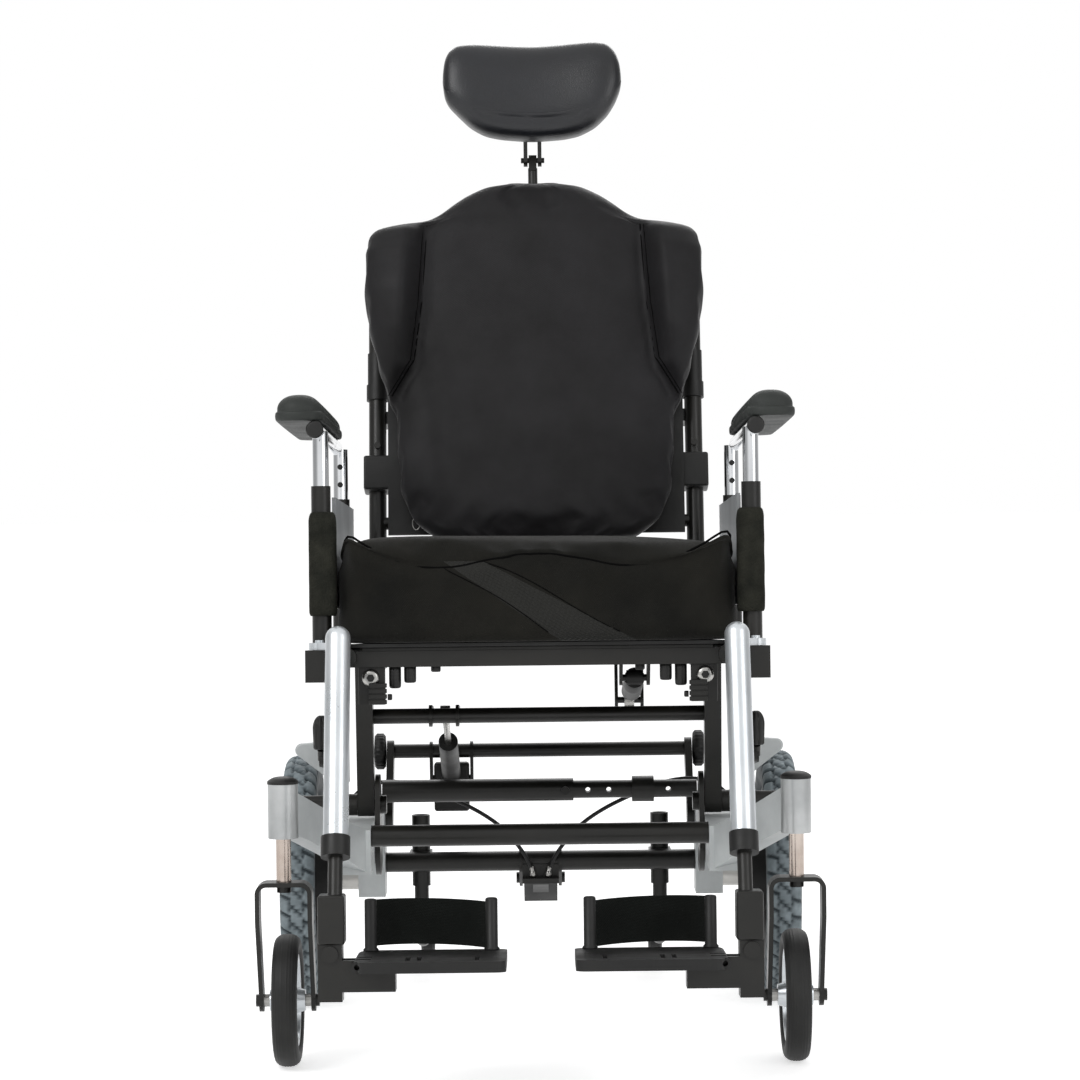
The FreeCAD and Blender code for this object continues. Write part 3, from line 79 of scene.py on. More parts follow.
def makeCamera():
    data = bpy.data.cameras.new("camera")
    data.lens = view["lens"]
    data.sensor_width = 36.0
    data.clip_end = 100
    camera = bpy.data.objects.new("camera", data)
    bpy.context.scene.collection.objects.link(camera)
    lean = Matrix.Rotation(math.radians(90 + view["pitch"]), 4, "X")
    roll = Matrix.Rotation(math.radians(view["roll"]), 4, "Z")
    camera.matrix_world = Matrix.Translation(view["place"]) @ lean @ roll
    bpy.context.scene.camera = camera


def addLamp(name, place, target, size, power):
    data = bpy.data.lights.new(name, "AREA")
    data.shape = "RECTANGLE"
    data.size, data.size_y = size
    data.energy = power
    lamp = bpy.data.objects.new(name, data)
    bpy.context.scene.collection.objects.link(lamp)
    way = Vector(target) - Vector(place)
    lamp.matrix_world = Matrix.Translation(place) @ way.to_track_quat("-Z", "Y").to_matrix().to_4x4()


# nodes are wired with this: a value goes on the socket, another node's socket is linked to it
def addNode(tree, kind, inputs=None, **settings):
    made = tree.nodes.new(kind)
    for key, value in settings.items():
        setattr(made, key, value)
    for key, value in (inputs or {}).items():
        if isinstance(value, bpy.types.NodeSocket):
            tree.links.new(value, made.inputs[key])
        else:
            made.inputs[key].default_value = value
    return made


# one Math node, and one Mix node of two colours
def maths(tree, operation, *values):
    return addNode(tree, "ShaderNodeMath", dict(enumerate(values)), operation=operation).outputs[0]


def mixTone(tree, share, low, high):
    return addNode(tree, "ShaderNodeMix", {0: share, 6: low, 7: high}, data_type="RGBA").outputs[2]


# the world lights softly, is dimmer at the sides for glossy rays, and plain white for the camera
def makeWorld():
    world = bpy.data.worlds.new("studio")
    bpy.context.scene.world = world
    world.use_nodes = True
    tree = world.node_tree
    soft = tree.nodes["Background"]
    soft.inputs["Color"].default_value = (1, 1, 1, 1)
    soft.inputs["Strength"].default_value = view["worldLight"]
    path = addNode(tree, "ShaderNodeLightPath").outputs
    way = addNode(tree, "ShaderNodeTexCoord").outputs["Generated"]
    side = maths(tree, "ABSOLUTE", addNode(tree, "ShaderNodeSeparateXYZ", {0: way}).outputs[0])
    near, far = view["glossSpan"]
    dim = addNode(tree, "ShaderNodeMapRange", {0: side, 1: near, 2: far, 3: 1.0, 4: view["glossSide"]},
                  interpolation_type="SMOOTHSTEP")
    gloss = addNode(tree, "ShaderNodeBackground", {"Strength": dim.outputs[0]})
    white = addNode(tree, "ShaderNodeBackground", {"Strength": 1.0})
    for shown in (gloss, white):
        shown.inputs["Color"].default_value = (1, 1, 1, 1)
    glossy = addNode(tree, "ShaderNodeMixShader",
                     {0: path["Is Glossy Ray"], 1: soft.outputs[0], 2: gloss.outputs[0]})
    seen = maths(tree, "MAXIMUM", path["Is Camera Ray"], path["Is Transmission Ray"])
    final = addNode(tree, "ShaderNodeMixShader", {0: seen, 1: glossy.outputs[0], 2: white.outputs[0]})
    tree.links.new(final.outputs[0], tree.nodes["World Output"].inputs["Surface"])


# a pale floor, lifted to white for camera and glossy rays, that keeps the chair's shadow
def makeFloor():
    mesh = bpy.data.meshes.new("floor")
    reach = view["floorReach"]
    mesh.from_pydata([(-reach, -reach, 0), (reach, -reach, 0), (reach, reach, 0), (-reach, reach, 0)], [],
                     [(0, 1, 2, 3)])
    floor = bpy.data.objects.new("floor", mesh)
    bpy.context.scene.collection.objects.link(floor)
    paint = bpy.data.materials.new("floorPaint")
    paint.use_nodes = True
    tree = paint.node_tree
    shader = tree.nodes["Principled BSDF"]
    shader.inputs["Base Color"].default_value = (view["floorColour"],) * 3 + (1,)
    shader.inputs["Roughness"].default_value = 0.9
    shader.inputs["Specular IOR Level"].default_value = 0.2
    path = addNode(tree, "ShaderNodeLightPath").outputs
    glow = maths(tree, "MULTIPLY", maths(tree, "MAXIMUM", path["Is Camera Ray"], path["Is Glossy Ray"]),
                 view["floorLift"])
    shader.inputs["Emission Color"].default_value = (1, 1, 1, 1)
    tree.links.new(glow, shader.inputs["Emission Strength"])
    mesh.materials.append(paint)


def makeStage():
    bpy.context.scene.view_settings.view_transform = "Standard"
    makeWorld()
    makeFloor()
    addLamp("keyLamp", (-2.2, -2.6, 2.9), (0, 0, 0.6), (2.2, 1.8), 62)
    addLamp("fillLamp", (2.6, -2.4, 1.8), (0, 0, 0.6), (1.8, 2.0), 26)
    addLamp("rearLamp", (0.4, 2.8, 2.6), (0, 0, 0.7), (2.6, 1.4), 30)


makeCamera()
makeStage()
print("camera, floor and light")


# Shader node groups that several finishes share
def startGroup(name, inputs, outputs):
    group = bpy.data.node_groups.new(name, "ShaderNodeTree")
    for label, start in inputs.items():
        socket = group.interface.new_socket(name=label, in_out="INPUT", socket_type="NodeSocketFloat")
        socket.default_value = start
    for label in outputs:
        group.interface.new_socket(name=label, in_out="OUTPUT", socket_type="NodeSocketFloat")
    return group, addNode(group, "NodeGroupInput"), addNode(group, "NodeGroupOutput")


def feed(tree, source, target, socket):
    tree.links.new(source, target.inputs[socket])


# fine skin of moulded plastic or leather: noise mixed with the cells of a Voronoi pattern
def makeGrainGroup():
    group, given, out = startGroup("skinGrain", {"Scale": 900.0, "Cells": 0.4}, ("Height",))
    place = addNode(group, "ShaderNodeTexCoord").outputs["Object"]
    scale = given.outputs["Scale"]
    noise = addNode(group, "ShaderNodeTexNoise", {"Vector": place, "Scale": scale, "Detail": 3.0})
    cells = addNode(group, "ShaderNodeTexVoronoi", {"Vector": place, "Scale": scale})
    mixed = addNode(group, "ShaderNodeMix",
                    {0: given.outputs["Cells"], 2: noise.outputs["Fac"], 3: cells.outputs["Distance"]})
    feed(group, mixed.outputs[0], out, "Height")
    return group


# slow blotches, as of handling and dust, brought to a range
def makeBlotchGroup():
    group, given, out = startGroup("handledBlotches", {"Scale": 9.0, "Low": 0.0, "High": 1.0}, ("Value",))
    place = addNode(group, "ShaderNodeTexCoord").outputs["Object"]
    noise = addNode(group, "ShaderNodeTexNoise",
                    {"Vector": place, "Scale": given.outputs["Scale"], "Detail": 5.0, "Roughness": 0.6})
    ends = {3: given.outputs["Low"], 4: given.outputs["High"]}
    spread = addNode(group, "ShaderNodeMapRange", {0: noise.outputs["Fac"], 1: 0.32, 2: 0.68, **ends})
    feed(group, spread.outputs[0], out, "Value")
    return group


# drawn or brushed metal: noise stretched along X, Y or Z by its three scales
def makeStreakGroup():
    scales = {"Scale X": 900.0, "Scale Y": 900.0, "Scale Z": 8.0}
    group, given, out = startGroup("drawnStreaks", scales, ("Height",))
    place = addNode(group, "ShaderNodeTexCoord").outputs["Object"]
    sizes = addNode(group, "ShaderNodeCombineXYZ", {number: given.outputs[number] for number in range(3)})
    stretched = addNode(group, "ShaderNodeVectorMath", {0: place, 1: sizes.outputs[0]}, operation="MULTIPLY")
    noise = addNode(group, "ShaderNodeTexNoise",
                    {"Vector": stretched.outputs[0], "Scale": 1.0, "Detail": 2.0})
    feed(group, noise.outputs["Fac"], out, "Height")
    return group


# woven threads on the piece's own UV in metres: half of (1 + sin across x sin along)
def makeWeaveGroup():
    counts = {"Across": 900.0, "Along": 900.0, "Slant": 0.0}
    group, given, out = startGroup("wovenThreads", counts, ("Height",))
    place = addNode(group, "ShaderNodeUVMap").outputs[0]
    parts = addNode(group, "ShaderNodeSeparateXYZ", {0: place}).outputs
    slanted = maths(group, "MULTIPLY_ADD", parts[1], given.outputs["Slant"], parts[0])
    waves = []
    for line, count in ((slanted, "Across"), (parts[1], "Along")):
        angle = maths(group, "MULTIPLY", maths(group, "MULTIPLY", line, given.outputs[count]), math.pi)
        waves.append(maths(group, "SINE", angle))
    feed(group, maths(group, "MULTIPLY_ADD", maths(group, "MULTIPLY", *waves), 0.5, 0.5), out, "Height")
    return group


grainGroup = makeGrainGroup()
blotchGroup = makeBlotchGroup()
streakGroup = makeStreakGroup()
weaveGroup = makeWeaveGroup()


# sRGB numbers 0 to 255 as the linear colour that a socket takes
def shade(red, green, blue):
    share = np.array([red, green, blue]) / 255
    linear = np.where(share <= 0.04045, share / 12.92, ((share + 0.055) / 1.055) ** 2.4)
    return (*[float(v) for v in linear], 1.0)


def useGroup(tree, group, **values):
    made = addNode(tree, "ShaderNodeGroup", node_tree=group)
    for label, value in values.items():
        made.inputs[label.replace("_", " ")].default_value = value
    return made.outputs[0]


# A finish: colour that varies between two tones, roughness between two values, and a bump from a pattern.
def makeFinish(name, dark, light, rough, pattern, depth, blotch=9.0, sockets=None):
    finish = bpy.data.materials.new(name)
    finish.use_nodes = True
    tree = finish.node_tree
    shader = tree.nodes["Principled BSDF"]
    for label, value in (sockets or {}).items():
        shader.inputs[label].default_value = value
    tones = useGroup(tree, blotchGroup, Scale=blotch)
    feed(tree, mixTone(tree, tones, shade(*dark), shade(*light)), shader, "Base Color")
    wear = useGroup(tree, blotchGroup, Scale=blotch * 2.3, Low=rough[0], High=rough[1])
    feed(tree, wear, shader, "Roughness")
    bump = addNode(tree, "ShaderNodeBump", {"Height": pattern(tree), "Strength": 1.0, "Distance": depth})
    feed(tree, bump.outputs[0], shader, "Normal")
    return finish


def grain(scale, cells):
    return lambda tree: useGroup(tree, grainGroup, Scale=scale, Cells=cells)


def streaks(x, y, z):
    return lambda tree: useGroup(tree, streakGroup, Scale_X=x, Scale_Y=y, Scale_Z=z)


def weave(across, along, slant=0.0):
    return lambda tree: useGroup(tree, weaveGroup, Across=across, Along=along, Slant=slant)


# a lower specular level keeps cloth, foam and rubber as deep as they are written
def matt(level, **more):
    return {"Specular IOR Level": level, **{key.replace("_", " "): value for key, value in more.items()}}


# slot: name, dark tone, light tone, roughness, pattern, bump depth in metres, other settings
finishTable = {
    "silver_frame": ("castSilverCoat", (176, 180, 181), (206, 210, 210), (0.34, 0.48), grain(420, 0.2),
                     0.00012, {"sockets": {"Metallic": 0.25}}),
    "black_frame": ("satinBlackCoat", (17, 17, 15), (30, 29, 26), (0.3, 0.46), grain(1500, 0.2), 0.00004,
                    {"sockets": matt(0.3, Coat_Weight=0.12, Coat_Roughness=0.22)}),
    "brushed_aluminium": ("brushedAluminium", (150, 152, 153), (190, 192, 192), (0.28, 0.4),
                          streaks(40, 40, 2200), 0.00005, {"sockets": {"Metallic": 0.85}}),
    "black_plastic": ("mouldedBlackPlastic", (15, 15, 15), (27, 27, 26), (0.4, 0.58), grain(1100, 0.5),
                      0.00008, {"sockets": matt(0.35)}),
    "axle_steel": ("zincPlatedSteel", (150, 150, 148), (186, 184, 180), (0.22, 0.36), grain(700, 0.1),
                   0.00002, {"sockets": {"Metallic": 1.0}}),
    "satin_silver": ("satinSilverTube", (196, 201, 205), (222, 226, 229), (0.26, 0.36),
                     streaks(700, 700, 20), 0.000008, {"sockets": {"Metallic": 0.72}}),
    "chrome_tube": ("chromePlate", (205, 207, 210), (228, 230, 232), (0.05, 0.11), grain(60, 0.0), 0.00002,
                    {"sockets": {"Metallic": 1.0}}),
    "caster_rubber": ("casterRubber", (26, 26, 26), (42, 42, 41), (0.5, 0.66), grain(800, 0.3), 0.00006,
                      {"sockets": matt(0.3)}),
    "grey_tyre": ("greyTyreRubber", (104, 114, 118), (150, 161, 166), (0.55, 0.72), grain(600, 0.3), 0.00012,
                  {"blotch": 26.0, "sockets": matt(0.3)}),
    "cable_black": ("cableSheath", (14, 14, 14), (24, 24, 24), (0.36, 0.5), grain(1500, 0.3), 0.00003,
                    {"sockets": matt(0.3)}),
    "arm_foam": ("armPadSkin", (34, 37, 35), (50, 53, 51), (0.5, 0.64), grain(1300, 0.7), 0.00014,
                 {"sockets": matt(0.3)}),
    "side_foam": ("sidePadFoam", (27, 28, 24), (46, 46, 40), (0.8, 0.92), grain(420, 0.8), 0.0009,
                  {"blotch": 40.0, "sockets": matt(0.12)}),
    "grip_foam": ("gripFoam", (18, 18, 18), (31, 31, 30), (0.76, 0.9), grain(700, 0.7), 0.0004,
                  {"sockets": matt(0.15)}),
    "guard_plastic": ("guardPlastic", (150, 153, 155), (176, 179, 181), (0.4, 0.52), grain(900, 0.4), 0.00006,
                      {}),
    "seat_fabric": ("seatJersey", (19, 19, 17), (34, 33, 29), (0.8, 0.92), weave(900, 620), 0.00022,
                    {"sockets": matt(0.12, Sheen_Weight=0.12, Sheen_Roughness=0.35)}),
    "back_fabric": ("backStretchFabric", (16, 15, 16), (29, 28, 30), (0.5, 0.62), weave(1100, 800), 0.00012,
                    {"sockets": matt(0.22, Sheen_Weight=0.14, Sheen_Roughness=0.3)}),
    "head_leather": ("headLeatherette", (11, 12, 16), (21, 23, 29), (0.3, 0.42), grain(800, 0.85), 0.00022,
                     {"sockets": matt(0.4, Coat_Weight=0.22, Coat_Roughness=0.24)}),
    "strap_webbing": ("strapWebbing", (12, 14, 12), (24, 27, 25), (0.7, 0.85), weave(620, 420, 0.5), 0.0004,
                      {"sockets": matt(0.12, Sheen_Weight=0.1, Sheen_Roughness=0.35)}),
}
finishes = {slot: makeFinish(*values, **more) for slot, (*values, more) in finishTable.items()}
# near-black finish of the seam cords and lines: painted shadow of the sewn seam grooves
paintedSeamShadow = makeFinish("paintedSeamShadow", (6, 6, 6), (11, 11, 11), (0.8, 0.92), grain(1600, 0.4), 0.00005,
                        sockets=matt(0.05))
stemSteel = makeFinish("polishedStemSteel", (150, 134, 124), (196, 186, 178), (0.14, 0.24),
                       streaks(900, 900, 30), 0.00002, sockets={"Metallic": 1.0})
for name, piece in nodes.items():
    slot = piece.data.materials[0].name
    piece.data.materials[0] = finishes[slot]
print("finishes:", len(finishes))


# some faces of a CAD node take another finish, chosen by the place of their middle
def paintFaces(name, finish, chosen):
    mesh = nodes[name].data
    middles = np.empty(len(mesh.polygons) * 3)
    mesh.polygons.foreach_get("center", middles)
    middles = middles.reshape(-1, 3)
    slots = np.empty(len(mesh.polygons), int)
    mesh.polygons.foreach_get("material_index", slots)
    slots[chosen(middles)] = len(mesh.materials)
    mesh.materials.append(finish)
    mesh.polygons.foreach_set("material_index", slots)


# the caster forks' stems and their bolts between the bars are steel
forkDetail = {"stemFoot": 0.2165, "axleHeight": 0.075, "axleReach": 0.0060, "barInner": 0.0265}


def paintForks():
    for name in ("caster_fork_left", "caster_fork_right"):
        low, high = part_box(name)
        middle = (low[0] + high[0]) / 2
        paintFaces(name, stemSteel, lambda at: at[:, 2] > forkDetail["stemFoot"])
        paintFaces(name, finishes["axle_steel"],
                   lambda at: (np.abs(at[:, 2] - forkDetail["axleHeight"]) < forkDetail["axleReach"])
                   & (np.abs(at[:, 0] - middle) < forkDetail["barInner"]))


paintForks()


# Surfaces
def gridFaces(rows, columns, around, loop):
    index = np.arange(rows * columns).reshape(rows, columns)
    if around:
        index = np.hstack([index, index[:, :1]])
    if loop:
        index = np.vstack([index, index[:1]])
    return np.stack([index[:-1, :-1], index[:-1, 1:], index[1:, 1:], index[1:, :-1]], -1).reshape(-1, 4)


# joins grids of points into one mesh object: rows along, columns around. Open ends get a fan on a middle
# point, and the UV map is the distance in metres along the columns and the rows
def surface(name, grids, finish, around=True, loop=False, ends=True, smooth=True):
    grids = [grids] if isinstance(grids, np.ndarray) else grids
    points, faces, corners = [], [], []
    start = 0
    for grid in grids:
        rows, columns = grid.shape[:2]
        quads = gridFaces(rows, columns, around, loop)
        alongStep = np.linalg.norm(np.diff(grid, axis=0), axis=2).mean(1)
        along = np.concatenate([[0], np.cumsum(alongStep), [0]])
        along[-1] = along[-2] + (np.linalg.norm(grid[0] - grid[-1], axis=1).mean() if loop else 0)
        wide = grid[np.argmax(np.linalg.norm(np.roll(grid, -1, 1) - grid, axis=2).sum(1))]
        across = np.concatenate([[0], np.cumsum(np.linalg.norm(np.roll(wide, -1, 0) - wide, axis=1))])
        row, column = np.divmod(np.arange(len(quads)), columns if around else columns - 1)
        corners.append(np.stack([
            np.stack([across[column], along[row]], 1), np.stack([across[column + 1], along[row]], 1),
            np.stack([across[column + 1], along[row + 1]], 1), np.stack([across[column], along[row + 1]], 1)],
            1).reshape(-1, 2))
        points.append(grid.reshape(-1, 3))
        faces += (quads + start).tolist()
        if ends and around and not loop:
            ring = np.arange(columns)
            after = np.roll(ring, -1)
            last = (rows - 1) * columns
            for edge, middle, turn in ((0, rows * columns, 1), (last, rows * columns + 1, -1)):
                fan = np.stack([after + edge, ring + edge, np.full(columns, middle)][::turn], 1)
                faces += (fan + start).tolist()
                corners.append(np.tile([[0.0, 0.0]], (columns * 3, 1)))
            points.append(np.stack([grid[0].mean(0), grid[-1].mean(0)]))
            start += 2
        start += rows * columns
    mesh = bpy.data.meshes.new(name)
    mesh.from_pydata(np.vstack(points).tolist(), [], faces)
    layer = mesh.uv_layers.new(name="UVMap")
    layer.data.foreach_set("uv", np.vstack(corners).ravel())
    mesh.polygons.foreach_set("use_smooth", [smooth] * len(faces))
    mesh.materials.append(finish)
    work = bmesh.new()
    work.from_mesh(mesh)
    if ends or loop:
        bmesh.ops.recalc_face_normals(work, faces=work.faces)
    work.to_mesh(mesh)
    work.free()
    piece = bpy.data.objects.new(name, mesh)
    bpy.context.scene.collection.objects.link(piece)
    return piece


def finishPiece(piece, body, slot, *replaced):
    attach(piece, body)
    if replaced:
        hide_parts(*replaced)
    return piece


def addModifier(piece, kind, **settings):
    made = piece.modifiers.new(kind.lower(), kind)
    for key, value in settings.items():
        setattr(made, key, value)
    return made


def subdivide(piece, levels=1):
    addModifier(piece, "SUBSURF", levels=levels, render_levels=levels)


def unit(vectors):
    vectors = np.asarray(vectors, float)
    return vectors / np.linalg.norm(vectors, axis=-1, keepdims=True)


# a profile (across, up) carried along a path: across = tangent x reference, up = across x tangent
def swept(path, profile, reference, loop=False):
    path = np.asarray(path, float)
    ahead = np.roll(path, -1, 0) - np.roll(path, 1, 0) if loop else np.gradient(path, axis=0)
    ahead = unit(ahead)
    across = unit(np.cross(ahead, np.asarray(reference, float)))
    up = np.cross(across, ahead)
    profile = np.broadcast_to(np.asarray(profile, float), (len(path),) + np.shape(profile)[-2:])
    return path[:, None] + across[:, None] * profile[..., :1] + up[:, None] * profile[..., 1:]


def circle(radius, sides):
    turn = np.linspace(0, 2 * np.pi, sides, endpoint=False)
    return radius * np.stack([np.cos(turn), np.sin(turn)], 1)


# a profile (distance along the axis, radius) turned about an axis through centre
def turnedAbout(centre, axis, profile, sides):
    axis = unit(axis)
    side = unit(np.cross(axis, (0, 0, 1) if abs(axis[2]) < 0.9 else (0, 1, 0)))
    other = np.cross(axis, side)
    turn = np.linspace(0, 2 * np.pi, sides, endpoint=False)
    spoke = np.cos(turn)[:, None] * side + np.sin(turn)[:, None] * other
    along, radius = np.asarray(profile, float).T
    return np.asarray(centre) + along[:, None, None] * axis + radius[:, None, None] * spoke


# plan outline |x/a|^n + |y/b|^n = 1, at even angles
def planOutline(a, b, power, count):
    turn = np.linspace(0, 2 * np.pi, count, endpoint=False)
    reach = (np.abs(np.cos(turn) / a) ** power + np.abs(np.sin(turn) / b) ** power) ** (-1 / power)
    return np.stack([reach * np.cos(turn), reach * np.sin(turn)], 1)


def coordinates(mesh):
    flat = np.empty(len(mesh.vertices) * 3, np.float32)
    mesh.vertices.foreach_get("co", flat)
    return flat.reshape(-1, 3).astype(float)


def normals(mesh):
    flat = np.empty(len(mesh.vertices) * 3, np.float32)
    mesh.vertices.foreach_get("normal", flat)
    return flat.reshape(-1, 3).astype(float)


def setCoordinates(mesh, points):
    mesh.vertices.foreach_set("co", np.asarray(points, np.float32).ravel())
    mesh.update()


# swells a filled cover: cloth under pressure for a few frames with its sewn rows held, then each point is
# brought back to at most cap from where it was
def inflate(piece, sewn, settings):
    before = coordinates(piece.data)
    group = piece.vertex_groups.new(name="sewn")
    group.add([int(v) for v in sewn], 1.0, "REPLACE")
    cloth = piece.modifiers.new("swell", "CLOTH")
    cloth.settings.vertex_group_mass = "sewn"
    cloth.settings.quality = 5
    cloth.settings.mass = 0.25
    cloth.settings.tension_stiffness = settings["stretch"]
    cloth.settings.compression_stiffness = settings["stretch"]
    cloth.settings.shear_stiffness = settings["stretch"] * 0.4
    cloth.settings.bending_stiffness = settings["bend"]
    cloth.settings.air_damping = 2.0
    cloth.settings.use_pressure = True
    cloth.settings.uniform_pressure_force = settings["pressure"]
    cloth.settings.shrink_min = settings["shrink"]
    cloth.settings.effector_weights.gravity = 0
    cloth.point_cache.frame_start = 1
    cloth.point_cache.frame_end = settings["frames"]
    scene = bpy.context.scene
    for number in range(1, settings["frames"] + 1):
        scene.frame_set(number)
    shown = piece.evaluated_get(bpy.context.evaluated_depsgraph_get())
    move = coordinates(shown.data) - before
    piece.modifiers.remove(cloth)
    piece.vertex_groups.remove(group)
    scene.frame_set(1)
    far = np.maximum(np.linalg.norm(move, axis=1, keepdims=True), 1e-9)
    setCoordinates(piece.data, before + move * settings["cap"] * np.tanh(far / settings["cap"]) / far)
    print("swelled", piece.name, "most", round(float(far.max()) * 1000, 1), "mm")


# draws a sewn row in along its normals, the rows beside it by a share
def drawIn(piece, rows, depth, beside=0.3):
    points, outward = coordinates(piece.data), normals(piece.data)
    for row in rows:
        for near, share in ((row[0], beside), (row[1], 1.0), (row[2], beside)):
            points[near] -= outward[near] * depth * share
    setCoordinates(piece.data, points)


# Seat cushion: a boxed cover whose top panel meets the sides at a wavy seam, drawn in, with a near-black cord
# in it as painted shadow of the groove
seat = {
    "halfWidth": 0.2248, "front": -0.3135, "back": 0.1390, "bottom": 0.4682, "top": 0.5770,
    "corner": 9.0, "columns": 176, "bottomEdge": 0.010, "topEdge": 0.034, "crown": 0.008,
    "seamLevel": 0.5610, "seamWave": 0.0079, "wavePeriod": 0.232, "seamEndRise": 0.017,
    "seamSide": 0.5600, "leftRise": 0.006, "sideDraw": 0.005,
    "cord": 0.0014, "cordSink": -0.0002, "seamDepth": 0.0048,
    "swell": {"pressure": 3.2, "stretch": 12.0, "bend": 0.4, "shrink": -0.03, "frames": 14, "cap": 0.0065},
    "bandTop": (-0.104, -0.060), "bandBottom": (0.012, 0.092), "bandLow": 0.4790, "bandLift": 0.014,
    "bandRise": 0.0118, "bandTone": (44, 44, 42), "stitch": 0.0042,
}


# height of the corded seam round the cushion: a cosine wave along the front that rises to the corners
def seamHeight(x, y):
    front = np.clip((-y - 0.24) / 0.05, 0, 1)
    front = front * front * (3 - 2 * front)
    ends = np.clip((np.abs(x) - 0.135) / 0.075, 0, 1)
    wave = seat["seamLevel"] + seat["seamWave"] * np.cos(2 * np.pi * x / seat["wavePeriod"])
    return seat["seamSide"] * (1 - front) + (wave + seat["seamEndRise"] * ends ** 2) * front


# rings from the middle of the underside out, up the sides, over the top edge and in to the middle of the top:
# each ring is the plan outline drawn in, at a height that is a share between underside, seam and top
def seatGrid():
    a = seat["halfWidth"]
    b = (seat["back"] - seat["front"]) / 2
    middle = (seat["back"] + seat["front"]) / 2
    count = seat["columns"]
    outline = planOutline(a, b, seat["corner"], count)
    seam = seamHeight(outline[:, 0], outline[:, 1] + middle)
    lean = -outline[:, 0] / a * np.clip(-outline[:, 1] / b, 0, 1)
    top = seat["top"] + seat["leftRise"] * np.clip(lean, -0.4, 1)
    rings = []

    def ring(inset, scale, height):
        plan = planOutline(a - inset, b - inset, seat["corner"], count) * scale
        rings.append(np.stack([plan[:, 0], plan[:, 1] + middle, np.broadcast_to(height, count)], 1))

    low, edge = seat["bottom"], seat["bottomEdge"]
    for scale in np.linspace(0.06, 0.97, 9):
        ring(edge, scale, low)
    for turn in np.linspace(0, np.pi / 2, 4):
        ring(edge * (1 - math.sin(turn)), 1.0, low + edge * (1 - math.cos(turn)))
    for share in np.linspace(0.1, 1.0, 11):
        draw = seat["sideDraw"] * math.sin(math.pi * share)
        ring(draw, 1.0, low + edge + (seam - low - edge) * share)
    seamRow = len(rings) - 1
    rise = top - seam
    for turn in np.linspace(0, np.pi / 2, 9)[1:]:
        ring(seat["topEdge"] * (1 - math.cos(turn)), 1.0, seam + rise * math.sin(turn))
    for scale in np.linspace(1, 0.05, 16)[1:]:
        ring(seat["topEdge"], scale, top + (seat["crown"] + seat["top"] - top) * (1 - scale ** 2))
    return onSeat(np.array(rings)), seamRow


def nearRows(row, columns):
    here = np.arange(columns) + row * columns
    return here - columns, here, here + columns


# a thin near-black cord laid in a row of the finished mesh: painted shadow of the seam groove
def seamShadowCord(name, piece, rowNumber, columns, radius, sink):
    row = np.arange(columns) + rowNumber * columns
    points = coordinates(piece.data)[row]
    outward = normals(piece.data)[row]
    ring = swept(points - outward * sink, circle(radius, 8), outward, True)
    return surface(name, ring, paintedSeamShadow, loop=True)


# Places on the front of a mesh: rays along +Y from in front of it
def onFront(tree, across, height, lift):
    found = []
    for x, z in zip(across, height):
        hit, outward, _, _ = tree.ray_cast(Vector((x, -1.0, z)), Vector((0, 1, 0)))
        if hit is not None:
            found.append((*hit + outward * lift, *outward))
    return np.array(found)


def meshTree(piece):
    faces = [tuple(face.vertices) for face in piece.data.polygons]
    return BVHTree.FromPolygons([vertex.co for vertex in piece.data.vertices], faces)


# small raised stitches along points on a surface: each a short bead along the line
def stitches(name, places, step, radius):
    points, outward = places[:, :3], places[:, 3:]
    length = np.concatenate([[0], np.cumsum(np.linalg.norm(np.diff(points, axis=0), axis=1))])
    marks = np.arange(step / 2, length[-1] - step / 2, step)
    grids = []
    for mark in marks:
        place = np.linspace(mark - step * 0.36, mark + step * 0.36, 5)
        bead = np.stack([np.interp(place, length, points[:, k]) for k in range(3)], 1)
        up = unit([np.interp(mark, length, outward[:, k]) for k in range(3)])
        bulge = radius * np.array([0.35, 0.9, 1.0, 0.9, 0.35])
        grids.append(swept(bead, circle(1.0, 6)[None] * bulge[:, None, None], up))
    return finishPiece(surface(name, grids, finishes["strap_webbing"]), "seat_unit", "seat_fabric")


def makeSeatCushion():
    grid, seamRow = seatGrid()
    columns = seat["columns"]
    piece = surface("seatCushion", grid, finishes["seat_fabric"])
    under = np.arange(12 * columns)
    seam = np.arange(columns) + seamRow * columns
    inflate(piece, np.concatenate([under, seam]), seat["swell"])
    drawIn(piece, [nearRows(seamRow, columns)], seat["seamDepth"])
    cord = seamShadowCord("seatSeamShadowCord", piece, seamRow, columns, seat["cord"], seat["cordSink"])
    subdivide(piece)
    finishPiece(cord, "seat_unit", "seat_fabric")
    finishPiece(piece, "seat_unit", "seat_fabric", "seat_cushion")
    tree = meshTree(piece)
    share = np.linspace(0, 1, 90)
    for number, side in enumerate(("Left", "Right")):
        start, end = seat["bandTop"][number], seat["bandBottom"][number]
        x = start + (end - start) * share
        top = seamHeight(x, np.full_like(x, seat["front"])) + seat["bandRise"]
        z = top + (seat["bandLow"] + seat["bandLift"] - top) * share
        places = onFront(tree, x, z, 0.0001)
        stitches(f"bandStitches{side}", places, seat["stitch"], 0.00045)
        # thin near-black lines along the band's two edges: painted shadow of its seams
        line = surface(f"bandSeamShadow{side}", swept(places[:, :3], circle(0.0006, 6), places[:, 3:]), paintedSeamShadow)
        finishPiece(line, "seat_unit", "seat_fabric")


